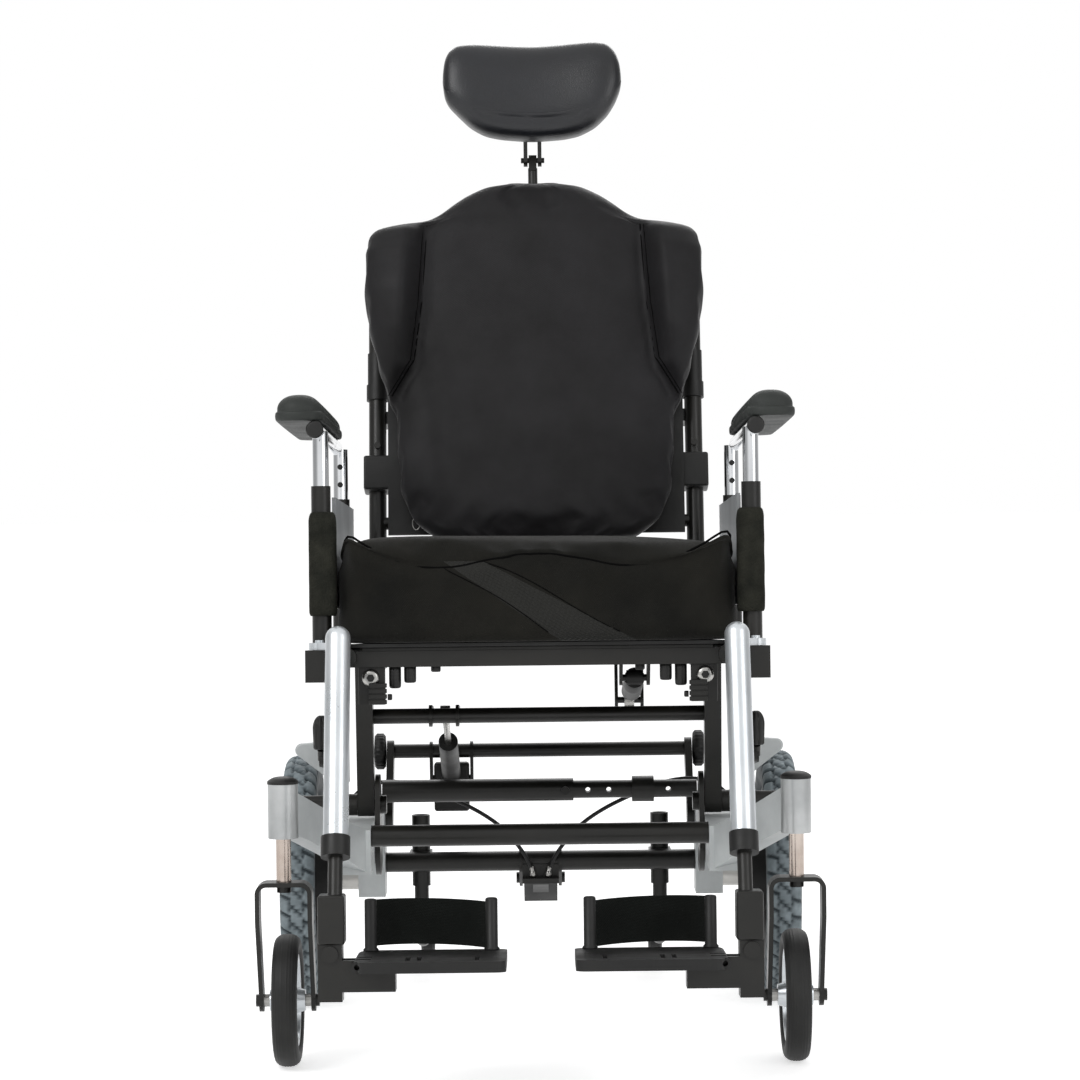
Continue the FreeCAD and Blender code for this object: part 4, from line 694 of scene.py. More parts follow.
# The diagonal band of open weave on the front is a second tone and a coarser relief in the seat fabric,
# between two slanted lines that the stitches follow.
def addSeatBand():
    tree = finishes["seat_fabric"].node_tree
    shader = tree.nodes["Principled BSDF"]
    place = addNode(tree, "ShaderNodeTexCoord").outputs["Object"]
    x, y, z = addNode(tree, "ShaderNodeSeparateXYZ", {0: place}).outputs
    low, high = seat["bandLow"] + seat["bandLift"], seat["seamLevel"] + seat["bandRise"]
    down = addNode(tree, "ShaderNodeMapRange", {0: z, 1: high, 2: low, 3: 0.0, 4: 1.0}, clamp=False)
    band = maths(tree, "MULTIPLY", maths(tree, "LESS_THAN", y, seat["front"] + 0.05),
                 maths(tree, "LESS_THAN", z, high))
    for start, end, way in zip(seat["bandTop"], seat["bandBottom"], ("GREATER_THAN", "LESS_THAN")):
        edge = maths(tree, "MULTIPLY_ADD", down.outputs[0], end - start, start)
        band = maths(tree, "MULTIPLY", band, maths(tree, way, x, edge))
    bump = shader.inputs["Normal"].links[0].from_node
    fine = bump.inputs["Height"].links[0].from_socket
    coarse = maths(tree, "MULTIPLY", useGroup(tree, weaveGroup, Across=330.0, Along=330.0, Slant=0.6), 4.0)
    mixed = addNode(tree, "ShaderNodeMix", {0: band, 2: fine, 3: coarse})
    feed(tree, mixed.outputs[0], bump, "Height")
    tone = shader.inputs["Base Color"].links[0].from_socket
    feed(tree, mixTone(tree, band, tone, shade(*seat["bandTone"])), shader, "Base Color")


makeSeatCushion()
addSeatBand()
print("seat cushion")

# Back cushion: levels from bottom to top, each a flat oval whose ends run forward into the side wings
back = {
    "levels": (0.5760, 0.5900, 0.6120, 0.6500, 0.7000, 0.7480, 0.7650, 0.8000, 0.8500, 0.9000, 0.9500, 0.9720,
               0.9850, 0.9930, 0.9990, 1.0120, 1.0300, 1.0420, 1.0500),
    "halves": (0.0500, 0.1240, 0.1520, 0.1690, 0.1740, 0.1750, 0.1850, 0.1960, 0.2080, 0.2130, 0.2115, 0.2070,
               0.1970, 0.1680, 0.1390, 0.1160, 0.0860, 0.0600, 0.0260),
    "noseLevels": (0.735, 0.755, 0.800, 0.850, 0.900, 0.950, 0.978, 0.996, 1.012),
    "noses": (0.0, 0.008, 0.024, 0.040, 0.046, 0.042, 0.028, 0.010, 0.0),
    "seamLevels": (0.735, 0.757, 0.804, 0.880, 0.985, 1.05),
    "seams": (0.186, 0.180, 0.151, 0.141, 0.134, 0.132), "seamSpan": (0.758, 0.986),
    "back": 0.1372, "face": 0.0855, "sideSet": 0.010, "rows": 96, "columns": 168, "edge": 0.030,
    "seamDepth": 0.0035, "cord": 0.0009,
    "swell": {"pressure": 2.6, "stretch": 14.0, "bend": 0.8, "shrink": -0.015, "frames": 12, "cap": 0.005},
}


# A level's section: x = half cos(t) with t from 0 to 2 pi. The front stands before the middle by the face
# depth plus the wing's nose past the seam, the back lies flat, and both close at the ends as
# (1 - |x/half|^5)^(1/2.4).
def backGrid():
    levels = np.array(back["levels"])
    share = np.linspace(0, 1, back["rows"])
    share = 0.5 - 0.5 * np.cos(np.pi * share)
    height = levels[0] + (levels[-1] - levels[0]) * (0.65 * share + 0.35 * np.linspace(0, 1, back["rows"]))
    fine = np.linspace(levels[0], levels[-1], 600)
    half = np.interp(fine, levels, back["halves"])
    kernel = np.hanning(13) / np.hanning(13).sum()
    padded = np.concatenate([np.full(6, half[0]), half, np.full(6, half[-1])])
    half = np.interp(height, fine, np.convolve(padded, kernel, "valid"))[:, None]
    nose = np.interp(height, back["noseLevels"], back["noses"])[:, None]
    seam = np.interp(height, back["seamLevels"], back["seams"])[:, None]
    count = back["columns"]
    turn = np.linspace(0, 2 * np.pi, count, endpoint=False)[None]
    x = half * np.sign(np.cos(turn)) * np.abs(np.cos(turn)) ** 0.8
    front = np.sin(turn) < 0
    close = (1 - np.abs(x / half) ** 5) ** (1 / 2.4)
    past = np.clip((np.abs(x) - seam + 0.004) / 0.030, 0, 1)
    past = past * past * (3 - 2 * past)
    ends = np.minimum((height - levels[0]) / back["edge"], (levels[-1] - height) / (back["edge"] * 1.2))
    ends = np.clip(ends, 0.0, 1)[:, None]
    ends = 0.12 + 0.88 * np.sqrt(1 - (1 - ends) ** 2)
    face = back["face"] + back["sideSet"] * np.clip(np.abs(x) / seam, 0, 1) ** 2 - nose * past
    middle = (back["back"] * 0.55 + back["face"] * 0.45) - nose * past * 0.5
    deep = np.where(front, face - middle, back["back"] - middle)
    y = middle + deep * close * ends
    return onBack(np.stack([x, y, np.broadcast_to(height[:, None], x.shape)], 2)), height


def makeBackCushion():
    grid, height = backGrid()
    rows, columns = grid.shape[:2]
    piece = surface("backCushion", grid, finishes["back_fabric"])
    seam = np.interp(height, back["seamLevels"], back["seams"])
    rear = (np.sin(np.linspace(0, 2 * np.pi, columns, endpoint=False)) > 0.15)[None]
    held = np.where(np.broadcast_to(rear, (rows, columns)).ravel())[0]
    inflate(piece, held, back["swell"])
    points, outward = coordinates(piece.data), normals(piece.data)
    flat = np.arange(rows * columns)
    local = grid.reshape(-1, 3)
    level = np.repeat(height, columns)
    seamHere = np.repeat(seam, columns)
    frontSide = np.tile(np.sin(np.linspace(0, 2 * np.pi, columns, endpoint=False)) < 0, rows)
    winged = (level > back["noseLevels"][0] + 0.016) & (level < 0.990)
    off = np.abs(np.abs(local[:, 0]) - seamHere)
    groove = np.exp(-(off / 0.0042) ** 2) * winged * frontSide
    points[flat] -= outward[flat] * (groove * back["seamDepth"])[:, None]
    setCoordinates(piece.data, points)
    subdivide(piece)
    finishPiece(piece, "back_unit", "back_fabric", "back_cushion")
    tree = meshTree(piece)
    # near-black cords along the wing seams, and a thinner line beside each: painted shadow of the seam
    # grooves
    for side in (-1, 1):
        z = np.linspace(*back["seamSpan"], 80)
        x = side * np.interp(z, back["seamLevels"], back["seams"])
        for offset, name, share in ((0.0, "wingSeamShadowCord", 1.0), (0.0045, "wingSeamShadowLine", 0.6)):
            shown = onBack(np.stack([x + side * offset, np.full_like(x, 0.05), z], 1))
            places = onFront(tree, shown[:, 0], shown[:, 2], 0.0002)
            ring = swept(places[:, :3], circle(back["cord"] * share, 8), places[:, 3:])
            cord = surface(f"{name}{'Left' if side > 0 else 'Right'}", ring, paintedSeamShadow)
            finishPiece(cord, "back_unit", "back_fabric")


makeBackCushion()
print("back cushion")

# Headrest: sections across, each an oval in the y z plane between the outline's top and bottom at that place
head = {
    "x": (-0.1130, -0.1110, -0.1060, -0.0950, -0.0780, -0.0600, -0.0400, 0.0, 0.0400, 0.0600, 0.0800, 0.0960,
          0.1060, 0.1120, 0.1135),
    "top": (1.1800, 1.2020, 1.2150, 1.2245, 1.2275, 1.2280, 1.2278, 1.2268, 1.2282, 1.2290, 1.2290, 1.2255,
            1.2150, 1.1980, 1.1780),
    "bottom": (1.1760, 1.1560, 1.1450, 1.1340, 1.1180, 1.1085, 1.1048, 1.1020, 1.1040, 1.1075, 1.1170, 1.1320,
               1.1480, 1.1630, 1.1740),
    "seam": (1.1780, 1.1500, 1.1400, 1.1375, 1.1310, 1.1270, 1.1235, 1.1215, 1.1225, 1.1250, 1.1300, 1.1370,
             1.1470, 1.1640, 1.1760),
    "back": 0.1350, "depth": 0.0600, "lean": 0.016, "rows": 84, "columns": 64, "power": 2.7,
    "seamDepth": 0.0030, "cord": 0.0008,
    "swell": {"pressure": 1.2, "stretch": 14.0, "bend": 6.0, "shrink": 0.0, "frames": 8, "cap": 0.0016},
}


# Section at x: a superellipse in y and z, its columns spread so that one of them is the front seam
def headGrid():
    rows, columns = head["rows"], head["columns"]
    spread = np.sin(np.linspace(-np.pi / 2, np.pi / 2, rows))
    x = spread * (head["x"][-1] - head["x"][0]) / 2 + (head["x"][-1] + head["x"][0]) / 2
    inside = np.clip(x, head["x"][0] + 1e-4, head["x"][-1] - 1e-4)
    lines = [np.interp(inside, head["x"], head[key])[:, None] for key in ("top", "bottom", "seam")]
    kernel = np.array([1, 2, 3, 2, 1]) / 9
    for line in lines:
        line[2:-2, 0] = np.convolve(line[:, 0], kernel, "valid")
    top, bottom, seam = lines
    middle, tall = (top + bottom) / 2, (top - bottom) / 2
    power = head["power"]
    turn = np.linspace(0, 2 * np.pi, columns, endpoint=False)[None]
    seamColumn = int(columns * 0.36)
    level = np.clip((seam - middle) / tall, -0.93, 0.93)
    wanted = np.pi - np.arcsin(np.sign(level) * np.abs(level) ** (power / 2))
    now = turn[0, seamColumn]
    turn = turn + (wanted - now) * np.exp(-((turn - now) / 0.8) ** 2)
    ends = np.sqrt(np.clip(1 - np.abs(spread) ** 6, 0.0, 1))[:, None] * 0.88 + 0.12
    deep = head["depth"] / 2 * ends
    y = np.sign(np.cos(turn)) * np.abs(np.cos(turn)) ** (2 / power) * deep
    z = np.sign(np.sin(turn)) * np.abs(np.sin(turn)) ** (2 / power) * tall + middle
    centre = head["back"] - head["depth"] / 2 - head["lean"] * np.abs(spread[:, None]) ** 2
    return onBack(np.stack([np.broadcast_to(x[:, None], y.shape), y + centre, z], 2)), seamColumn


def makeHeadrest():
    grid, seamColumn = headGrid()
    rows, columns = grid.shape[:2]
    piece = surface("headrestCushion", grid, finishes["head_leather"])
    index = np.arange(rows * columns).reshape(rows, columns)
    seam = index[:, seamColumn]
    rear = index[:, :6].ravel()
    inflate(piece, np.concatenate([seam, rear, index[:, -6:].ravel()]), head["swell"])
    drawIn(piece, [(index[:, seamColumn - 1], seam, index[:, seamColumn + 1])], head["seamDepth"])
    # a near-black cord along the seam: painted shadow of its groove
    points, outward = coordinates(piece.data)[seam], normals(piece.data)[seam]
    cord = surface("headrestSeamShadowCord", swept(points + outward * 0.0004, circle(head["cord"], 8), outward),
                   paintedSeamShadow)
    subdivide(piece)
    finishPiece(cord, "headrest", "head_leather")
    finishPiece(piece, "headrest", "head_leather", "headrest_cushion")


makeHeadrest()
print("headrest")

# Armrest pads: moulded foam with a lip round its foot; foam pads on the front sockets
pads = {
    "armX": 0.265, "armHalf": 0.028, "armFront": -0.317, "armBack": 0.103,
    "armBottom": 0.7175, "armHeight": 0.0308,
    "foamX": 0.2415, "foamHalf": (0.0155, 0.0180), "foamY": -0.270, "foamBottom": 0.4995, "foamTop": 0.6165,
    "socketX": 0.243, "bore": 0.0112,
}


# rings (height share, inset): foot, lip, step above the lip, rounded crown
def makeArmPads():
    rings = [(0.0, 0.0035), (0.03, 0.0012), (0.10, 0.0), (0.30, 0.0), (0.345, 0.0008), (0.365, 0.0022),
             (0.39, 0.0026), (0.46, 0.0024)]
    for turn in np.linspace(0.0, np.pi / 2, 11)[1:]:
        rings.append((0.46 + 0.54 * math.sin(turn), 0.0024 + 0.0226 * (1 - math.cos(turn))))
    length = (pads["armBack"] - pads["armFront"]) / 2
    for side, name in ((1, "left"), (-1, "right")):
        grid = []
        for share, inset in rings:
            half = pads["armHalf"] - inset
            turn = np.linspace(0, 2 * np.pi, 96, endpoint=False)
            cosine, sine = np.cos(turn), np.sin(turn)
            x = half * np.sign(cosine) * np.abs(cosine) ** 0.9
            straight = length - pads["armHalf"]
            y = straight * np.clip(sine * 4, -1, 1) + half * np.sign(sine) * np.abs(sine) ** 0.9
            z = np.full_like(x, pads["armBottom"] + pads["armHeight"] * share)
            middle = (pads["armBack"] + pads["armFront"]) / 2
            grid.append(np.stack([x + side * pads["armX"], y + middle, z], 1))
        piece = surface(f"armPad_{name}", onSeat(np.array(grid)), finishes["arm_foam"])
        subdivide(piece)
        finishPiece(piece, f"armrest_{name}", "arm_foam", f"armrest_pad_{name}")


# foam sleeves round the front sockets: down the outside, in under the foot and up the bore
def makeFoamPads():
    grids = []
    tall = pads["foamTop"] - pads["foamBottom"]
    turn = np.linspace(0, 2 * np.pi, 44, endpoint=False)
    levels = np.concatenate([np.linspace(1, 0.9, 9), np.linspace(0.86, 0.1, 14), np.linspace(0.04, 0, 4)])
    for side in (1, -1):
        rings = []
        bore = np.stack([side * pads["socketX"] + pads["bore"] * np.cos(turn),
                         pads["foamY"] + pads["bore"] * np.sin(turn)], 1)
        for share in levels:
            foot = np.clip(1 - share / 0.04, 0, 1)
            crown = np.clip((share - 0.88) / 0.12, 0, 1)
            draw = 1 - 0.10 * foot ** 2 - (1 - math.sqrt(max(1 - crown ** 2, 0.0))) * 0.24
            plan = planOutline(pads["foamHalf"][0] * draw, pads["foamHalf"][1] * draw, 4.2, 44)
            wobble = 1 + 0.012 * np.sin(share * 23 + side) * np.cos(np.arange(44) * 0.7)
            plan = plan * wobble[:, None] + (side * pads["foamX"], pads["foamY"])
            rings.append(np.column_stack([plan, np.full(44, pads["foamBottom"] + tall * share)]))
        for share in (0.0, 0.5, 1.0):
            rings.append(np.column_stack([bore, np.full(44, pads["foamBottom"] + tall * share)]))
        grids.append(onSeat(np.array(rings)))
    piece = surface("sideFoamPads", grids, finishes["side_foam"], loop=True)
    finishPiece(piece, "seat_unit", "side_foam", "side_foam_pads")


makeArmPads()
makeFoamPads()
print("pads")

# Tyres: rear tyres with a block tread, caster tyres with fine grooves round them
tyres = {
    "rearX": 0.300, "rearY": 0.230, "rearZ": 0.156, "rearRadius": 0.156,
    "rearWidth": 0.045, "rearHeight": 0.044,
    "pitches": 44, "steps": 704, "blockHeight": 0.0040, "grooveShadeTone": (58, 66, 70),
    "casterX": 0.288, "casterY": -0.245, "casterZ": 0.075, "casterRadius": 0.075, "casterWidth": 0.029,
    "casterHeight": 0.022, "grooves": 9, "grooveDepth": 0.0004,
}


# The tread is high in blocks and low in the grooves between them. Three rows of blocks: across is the place
# over the tread from -1 to 1, and the cross grooves zigzag and are shifted by half a pitch from row to row.
def treadHeight(turn, across):
    phase = turn / (2 * np.pi) * tyres["pitches"]
    row = np.clip(np.abs(across) * 1.5, 0, 3)
    outer = row > 0.62
    slant = np.where(outer, 0.35 * across, 0.22 * np.sin(across * 7))
    saw = (phase + slant + np.where(outer, 0.5, 0.0)) % 1.0
    crossGroove = np.clip((np.abs(saw - 0.5) - 0.36) / 0.06, 0, 1)
    ringGroove = np.clip(1 - np.abs(row - 0.62 - 0.10 * np.sin(2 * np.pi * phase)) / 0.13, 0, 1)
    shoulder = np.clip((np.abs(across) - 1.05) / 0.12, 0, 1)
    return (1 - np.maximum(np.maximum(crossGroove, ringGroove), 0)) * (1 - shoulder)


# painted shade in the grooves: the tyre's colour darkens where its tread attribute is low
def paintGrooveShade():
    tree = finishes["grey_tyre"].node_tree
    shader = tree.nodes["Principled BSDF"]
    tone = shader.inputs["Base Color"].links[0].from_socket
    raised = addNode(tree, "ShaderNodeAttribute", attribute_name="tread").outputs["Fac"]
    feed(tree, mixTone(tree, raised, shade(*tyres["grooveShadeTone"]), tone), shader, "Base Color")


def makeRearTyres():
    section = 44
    around = np.linspace(0, 2 * np.pi, tyres["steps"], endpoint=False)[:, None]
    part = np.linspace(0, 2 * np.pi, section, endpoint=False)[None]
    power = 2 / 2.6
    flat = np.sign(np.sin(part)) * np.abs(np.sin(part)) ** power
    out = np.sign(np.cos(part)) * np.abs(np.cos(part)) ** power
    half = tyres["rearHeight"] / 2
    base = tyres["rearRadius"] - tyres["blockHeight"] - half
    tread = treadHeight(around, np.where(out > 0, flat / 0.86, 9.0)) * (out > 0)
    radius = base + half * out + tyres["blockHeight"] * tread
    wide = (tyres["rearWidth"] / 2 - 0.0008) * flat + 0.0008 * np.sign(flat) * tread
    for side, name in ((1, "left"), (-1, "right")):
        x = np.broadcast_to(side * tyres["rearX"] + wide, radius.shape)
        y = tyres["rearY"] + radius * np.sin(around)
        z = tyres["rearZ"] + radius * np.cos(around)
        piece = surface(f"rearTyre_{name}", np.stack([x, y, z], 2), finishes["grey_tyre"], loop=True)
        # the tread height, which the finish reads to paint shade in the grooves
        layer = piece.data.attributes.new("tread", "FLOAT", "POINT")
        layer.data.foreach_set("value", np.broadcast_to(tread, radius.shape).astype(np.float32).ravel())
        finishPiece(piece, f"rear_wheel_{name}", "grey_tyre", f"rear_tyre_{name}")


def makeCasterTyres():
    section = 96
    part = np.linspace(0, 2 * np.pi, section, endpoint=False)
    power = 2 / 2.35
    flat = np.sign(np.sin(part)) * np.abs(np.sin(part)) ** power
    out = np.sign(np.cos(part)) * np.abs(np.cos(part)) ** power
    half = tyres["casterHeight"] / 2
    groove = tyres["grooveDepth"] * (np.cos(flat * np.pi * tyres["grooves"]) < -0.4) * (out > 0.25)
    radius = tyres["casterRadius"] - half + half * out - groove
    for side, name in ((1, "left"), (-1, "right")):
        around = np.linspace(0, 2 * np.pi, 120, endpoint=False)[:, None]
        x = np.broadcast_to(side * tyres["casterX"] + tyres["casterWidth"] / 2 * flat, (120, section))
        y = tyres["casterY"] + radius * np.sin(around)
        z = tyres["casterZ"] + radius * np.cos(around)
        piece = surface(f"casterTyre_{name}", np.stack([x, y, z], 2), finishes["caster_rubber"], loop=True)
        finishPiece(piece, f"caster_wheel_{name}", "caster_rubber", f"caster_tyre_{name}")


paintGrooveShade()
makeRearTyres()
makeCasterTyres()
print("tyres")

# Brake cables, from the drum back plates over the axle tube and down to the pedal bracket
cable = {
    "route": ((0.257, 0.222, 0.206), (0.250, 0.212, 0.236), (0.232, 0.204, 0.268), (0.200, 0.198, 0.282),
              (0.160, 0.196, 0.279), (0.118, 0.196, 0.262), (0.080, 0.198, 0.244), (0.048, 0.200, 0.222),
              (0.026, 0.202, 0.196), (0.012, 0.206, 0.172), (0.009, 0.207, 0.1575)),
    "diameter": 0.005, "length": 0.346,
}


def makeCables():
    for side, name in ((1, "left"), (-1, "right")):
        data = bpy.data.curves.new(f"brakeCable_{name}", "CURVE")
        data.dimensions = "3D"
        data.bevel_depth = cable["diameter"] / 2
        data.bevel_resolution = 4
        data.resolution_u = 12
        data.use_fill_caps = True
        spline = data.splines.new("NURBS")
        spline.points.add(len(cable["route"]) - 1)
        for point, (x, y, z) in zip(spline.points, cable["route"]):
            point.co = (side * x, y, z, 1)
        spline.order_u = 3
        spline.use_endpoint_u = True
        data.materials.append(finishes["cable_black"])
        piece = bpy.data.objects.new(f"brakeCable_{name}", data)
        bpy.context.scene.collection.objects.link(piece)
        finishPiece(piece, "base", "cable_black", "brake_cables")
        x, y, z = cable["route"][0]


makeCables()
print("cables")

# Heel straps: webbing laid round behind the heels between two posts on each footplate
strap = {
    "inner": 0.054, "outer": 0.187, "y": -0.362, "sag": 0.046, "low": 0.1325, "high": 0.1845, "thick": 0.0024,
    "postRadius": 0.0068, "postFoot": 0.1290, "outerRise": 0.004,
}


# the strap's line in plan is y = ring + sag (1 - (2s - 1)^2)^0.8, its height falls a little to the inner post
def makeHeelStraps():
    share = np.linspace(0, 1, 60)
    for side, name in ((1, "left"), (-1, "right")):
        x = side * (strap["inner"] + (strap["outer"] - strap["inner"]) * share)
        y = strap["y"] + strap["sag"] * (1 - (2 * share - 1) ** 2) ** 0.8
        middle = (strap["low"] + strap["high"]) / 2 + strap["outerRise"] * (share - 0.5)
        line = np.stack([x, y, middle], 1)
        tall = (strap["high"] - strap["low"]) / 2 - 0.0006
        step = np.linspace(-1, 1, 13)
        half = strap["thick"] / 2
        outside = np.stack([half * (1 + 0.25 * (np.abs(step) > 0.86)), step * tall], 1)
        inside = np.stack([-half * (1 + 0.25 * (np.abs(step) > 0.86)), step * tall], 1)[::-1]
        band = surface(f"heelStrap_{name}", onSeat(swept(line, np.vstack([outside, inside]), (0, 0, 1))),
                       finishes["strap_webbing"])
        addModifier(band, "BEVEL", width=0.0005, segments=2, limit_method="ANGLE")
        finishPiece(band, f"footplate_{name}", "strap_webbing", f"heel_strap_{name}")
        posts = []
        low, high, r = strap["postFoot"], strap["high"] + 0.003, strap["postRadius"]
        outline = [(low, r * 1.25), (low + 0.003, r * 1.25), (low + 0.0045, r), (high - 0.002, r),
                   (high - 0.0006, r * 0.88), (high, r * 0.6)]
        for postX in (strap["inner"], strap["outer"]):
            posts.append(onSeat(turnedAbout((side * postX, strap["y"], 0), (0, 0, 1), outline, 24)))
        piece = surface(f"heelPosts_{name}", posts, finishes["black_plastic"])
        finishPiece(piece, f"footplate_{name}", "black_plastic", f"heel_strap_{name}")


makeHeelStraps()
print("heel straps")

# Grips: foam on the push bar, ribbed plastic on the wheel locks
grips = {
    "barY": 0.301, "barZ": 0.972, "spans": ((-0.140, -0.092), (-0.048, 0.048), (0.092, 0.140)),
    "radius": 0.0140,
    "lockX": 0.260, "lockY": -0.024, "lockRadius": 0.0098, "lockLow": 0.3420, "lockHigh": 0.3800, "flutes": 9,
}


def makePushGrips():
    grids = []
    for start, end in grips["spans"]:
        r = grips["radius"]
        step = np.linspace(0, 1, 40)
        along = start + (end - start) * step
        near = np.clip(np.minimum(step, 1 - step) * (end - start) / 0.004, 0, 1)
        radius = r * (0.80 + 0.20 * np.sqrt(1 - (1 - near) ** 2)) - 0.0005 * (np.arange(40) % 4 == 0)
        centre = (0, grips["barY"], grips["barZ"])
        grids.append(onBack(turnedAbout(centre, (1, 0, 0), np.stack([along, radius], 1), 40)))
    piece = surface("pushGrips", grids, finishes["grip_foam"])
    finishPiece(piece, "push_bar", "grip_foam", "push_grips")


# radius = bullet profile x (1 - flute depth x a power of |cos(flutes x turn / 2)|)
def makeLockGrips():
    step = np.linspace(0, 1, 26)
    nose = np.sqrt(np.clip(1 - ((step - 0.62) / 0.4) ** 2, 0, 1))
    profile = np.where(step < 0.62, 0.93 + 0.07 * step / 0.62, nose)
    profile[0] = 0.80
    count = 72
    turn = np.linspace(0, 2 * np.pi, count, endpoint=False)
    flute = 1 - 0.13 * np.abs(np.cos(turn * grips["flutes"] / 2)) ** 6
    low, high = grips["lockLow"] - 0.001, grips["lockHigh"] + 0.0015
    for side, name in ((1, "left"), (-1, "right")):
        cutIn = (1 - flute[None]) * (profile[:, None] > 0.5)
        radius = (grips["lockRadius"] + 0.0006) * profile[:, None] * (1 - cutIn)
        x = side * grips["lockX"] + radius * np.cos(turn)
        y = grips["lockY"] + radius * np.sin(turn)
        z = np.broadcast_to((low + (high - low) * step)[:, None], radius.shape)
        piece = surface(f"wheelLockGrip_{name}", np.stack([x, y, z], 2), finishes["black_plastic"])
        finishPiece(piece, f"wheel_lock_{name}", "black_plastic")


makePushGrips()
makeLockGrips()
print("grips")

# Small fittings: each is a profile turned about an axis, or a box with bevelled edges
fittings = {
    "capReach": 0.0098, "capFront": -0.3132, "capBack": -0.3060, "tubeX": 0.247, "tubeZ": 0.708,
    "buttonX": 0.243, "buttonFace": 0.1218, "buttons": (0.664, 0.686), "buttonReach": 0.0034,
    "bracketX": (0.1720, 0.2020), "barY": -0.276, "barFoot": 0.4410, "bracketFoot": 0.3990,
    "packing": (0.198, 0.009, 0.4585, 0.4632), "claspX": 0.1880, "claspZ": 0.4290, "claspReach": 0.0100,
    "ribbedX": (0.1700, 0.1900), "ribs": 4, "ribStep": 0.0062, "ribHeight": 0.0050,
    "sideBolt": (0.1690, 0.0335), "barBolts": 0.1150,
    "buffers": ((0.1610, 0.0250), (0.1440, 0.0190)), "bufferReach": 0.0070,
    "knurlX": (0.1970, 0.2120), "knurlY": 0.300, "knurlZ": 0.310, "knurlReach": 0.0232, "knurls": 24,
    "armX": (0.2350, 0.3020), "armY": (0.1180, 0.1320), "armTop": 0.3360, "armTip": 0.008,
    "zipX": -0.1500, "zipZ": 0.6130, "zipWire": 0.00045,
    "zipLinks": ((0.0025, 0.0014, 0.0036, (1, 0, 0)), (0.0080, 0.0014, 0.0036, (0, 1, 0)),
                 (0.0180, 0.0046, 0.0078, (1, 0, 0))),
}


# outline of a domed head: foot radius, straight side, then a quarter round onto the top
def headProfile(start, end, reach, share=0.35):
    way = 1 if end > start else -1
    edge = min(abs(end - start), reach) * share
    turn = np.linspace(0, np.pi / 2, 5)
    side = [(start, reach * 0.94), (start + way * edge * 0.2, reach)]
    crown = [(end - way * edge * (1 - math.sin(t)), reach - edge * (1 - math.cos(t))) for t in turn]
    return side + crown + [(end, reach * 0.3)]


# items are (centre, axis, profile); place turns them with the seat
def turnedPiece(name, body, slot, items, sides=28, place=None):
    grids = [turnedAbout(centre, axis, profile, sides) for centre, axis, profile in items]
    grids = [place(grid) for grid in grids] if place else grids
    return finishPiece(surface(name, grids, finishes[slot]), body, slot)


def bevelled(name, body, slot, grids, width, segments=2):
    piece = surface(name, grids, finishes[slot], smooth=False)
    addModifier(piece, "BEVEL", width=width, segments=segments, limit_method="ANGLE")
    return finishPiece(piece, body, slot)


# a box between two corners as a grid of two rings
def boxGrid(low, high):
    low, high = np.minimum(low, high), np.maximum(low, high)
    ring = np.array([(-1, -1), (1, -1), (1, 1), (-1, 1)])
    plan = (low + high)[:2] / 2 + ring * (high - low)[:2] / 2
    return np.array([np.column_stack([plan, np.full(4, level)]) for level in (low[2], high[2])])


def makeArmFittings():
    for side, name in ((1, "left"), (-1, "right")):
        body = f"armrest_{name}"
        profile = headProfile(fittings["capBack"], fittings["capFront"], fittings["capReach"])
        cap = [((side * fittings["tubeX"], 0, fittings["tubeZ"]), (0, 1, 0), profile)]
        turnedPiece(f"armrestEndCap_{name}", body, "black_plastic", cap, 36, onSeat)
        button = headProfile(-0.002, 0.0028, fittings["buttonReach"])
        buttons = [((side * fittings["buttonX"], fittings["buttonFace"], height), (0, -1, 0), button)
                   for height in fittings["buttons"]]
        turnedPiece(f"armrestButtons_{name}", body, "black_plastic", buttons, 20, onSeat)


# under the front bar: plates with bright clasps, ribbed blocks and two bolt heads, and a packing strip on it
def makeFrontBrackets():
    y, foot = fittings["barY"], fittings["barFoot"]
    boxes, ribs, clasps, bolts = [], [], [], []
    for side in (1, -1):
        inner, outer = (side * value for value in fittings["bracketX"])
        boxes.append(((inner, y - 0.004, fittings["bracketFoot"]), (outer, y + 0.002, foot)))
        low, high = (side * value for value in fittings["ribbedX"])
        for number in range(fittings["ribs"]):
            top = foot - 0.018 - number * fittings["ribStep"]
            ribs.append(((low, y - 0.016, top - fittings["ribHeight"]), (high, y - 0.004, top)))
        core = side * 0.0015
        ribs.append(((low + core, y - 0.0145, foot - 0.0420), (high - core, y - 0.004, foot - 0.0180)))
        centre = (side * fittings["claspX"], y - 0.004, fittings["claspZ"])
        clasps.append((centre, (0, -1, 0), headProfile(0, 0.0085, fittings["claspReach"], 0.6)))
        bolts.append((centre, (0, -1, 0), headProfile(0.0070, 0.0125, 0.0046)))
        boltX, drop = fittings["sideBolt"]
        bolts.append(((side * boltX, y - 0.010, foot - drop), (-side, 0, 0), headProfile(0, 0.0050, 0.0040)))
        onBar = (side * fittings["barBolts"], y, foot)
        bolts.append((onBar, (0, 0, -1), headProfile(-0.001, 0.0060, 0.0055)))
    half, deep, low, high = fittings["packing"]
    boxes += ribs + [((-half, y - deep, low), (half, y + deep, high))]
    grids = [onSeat(boxGrid(*box)) for box in boxes]
    bevelled("seatFrontBrackets", "seat_unit", "black_frame", grids, 0.0008)
    turnedPiece("seatFrontClasps", "seat_unit", "axle_steel", clasps, 36, onSeat)
    turnedPiece("seatFrontBolts", "seat_unit", "black_plastic", bolts, 6, onSeat)


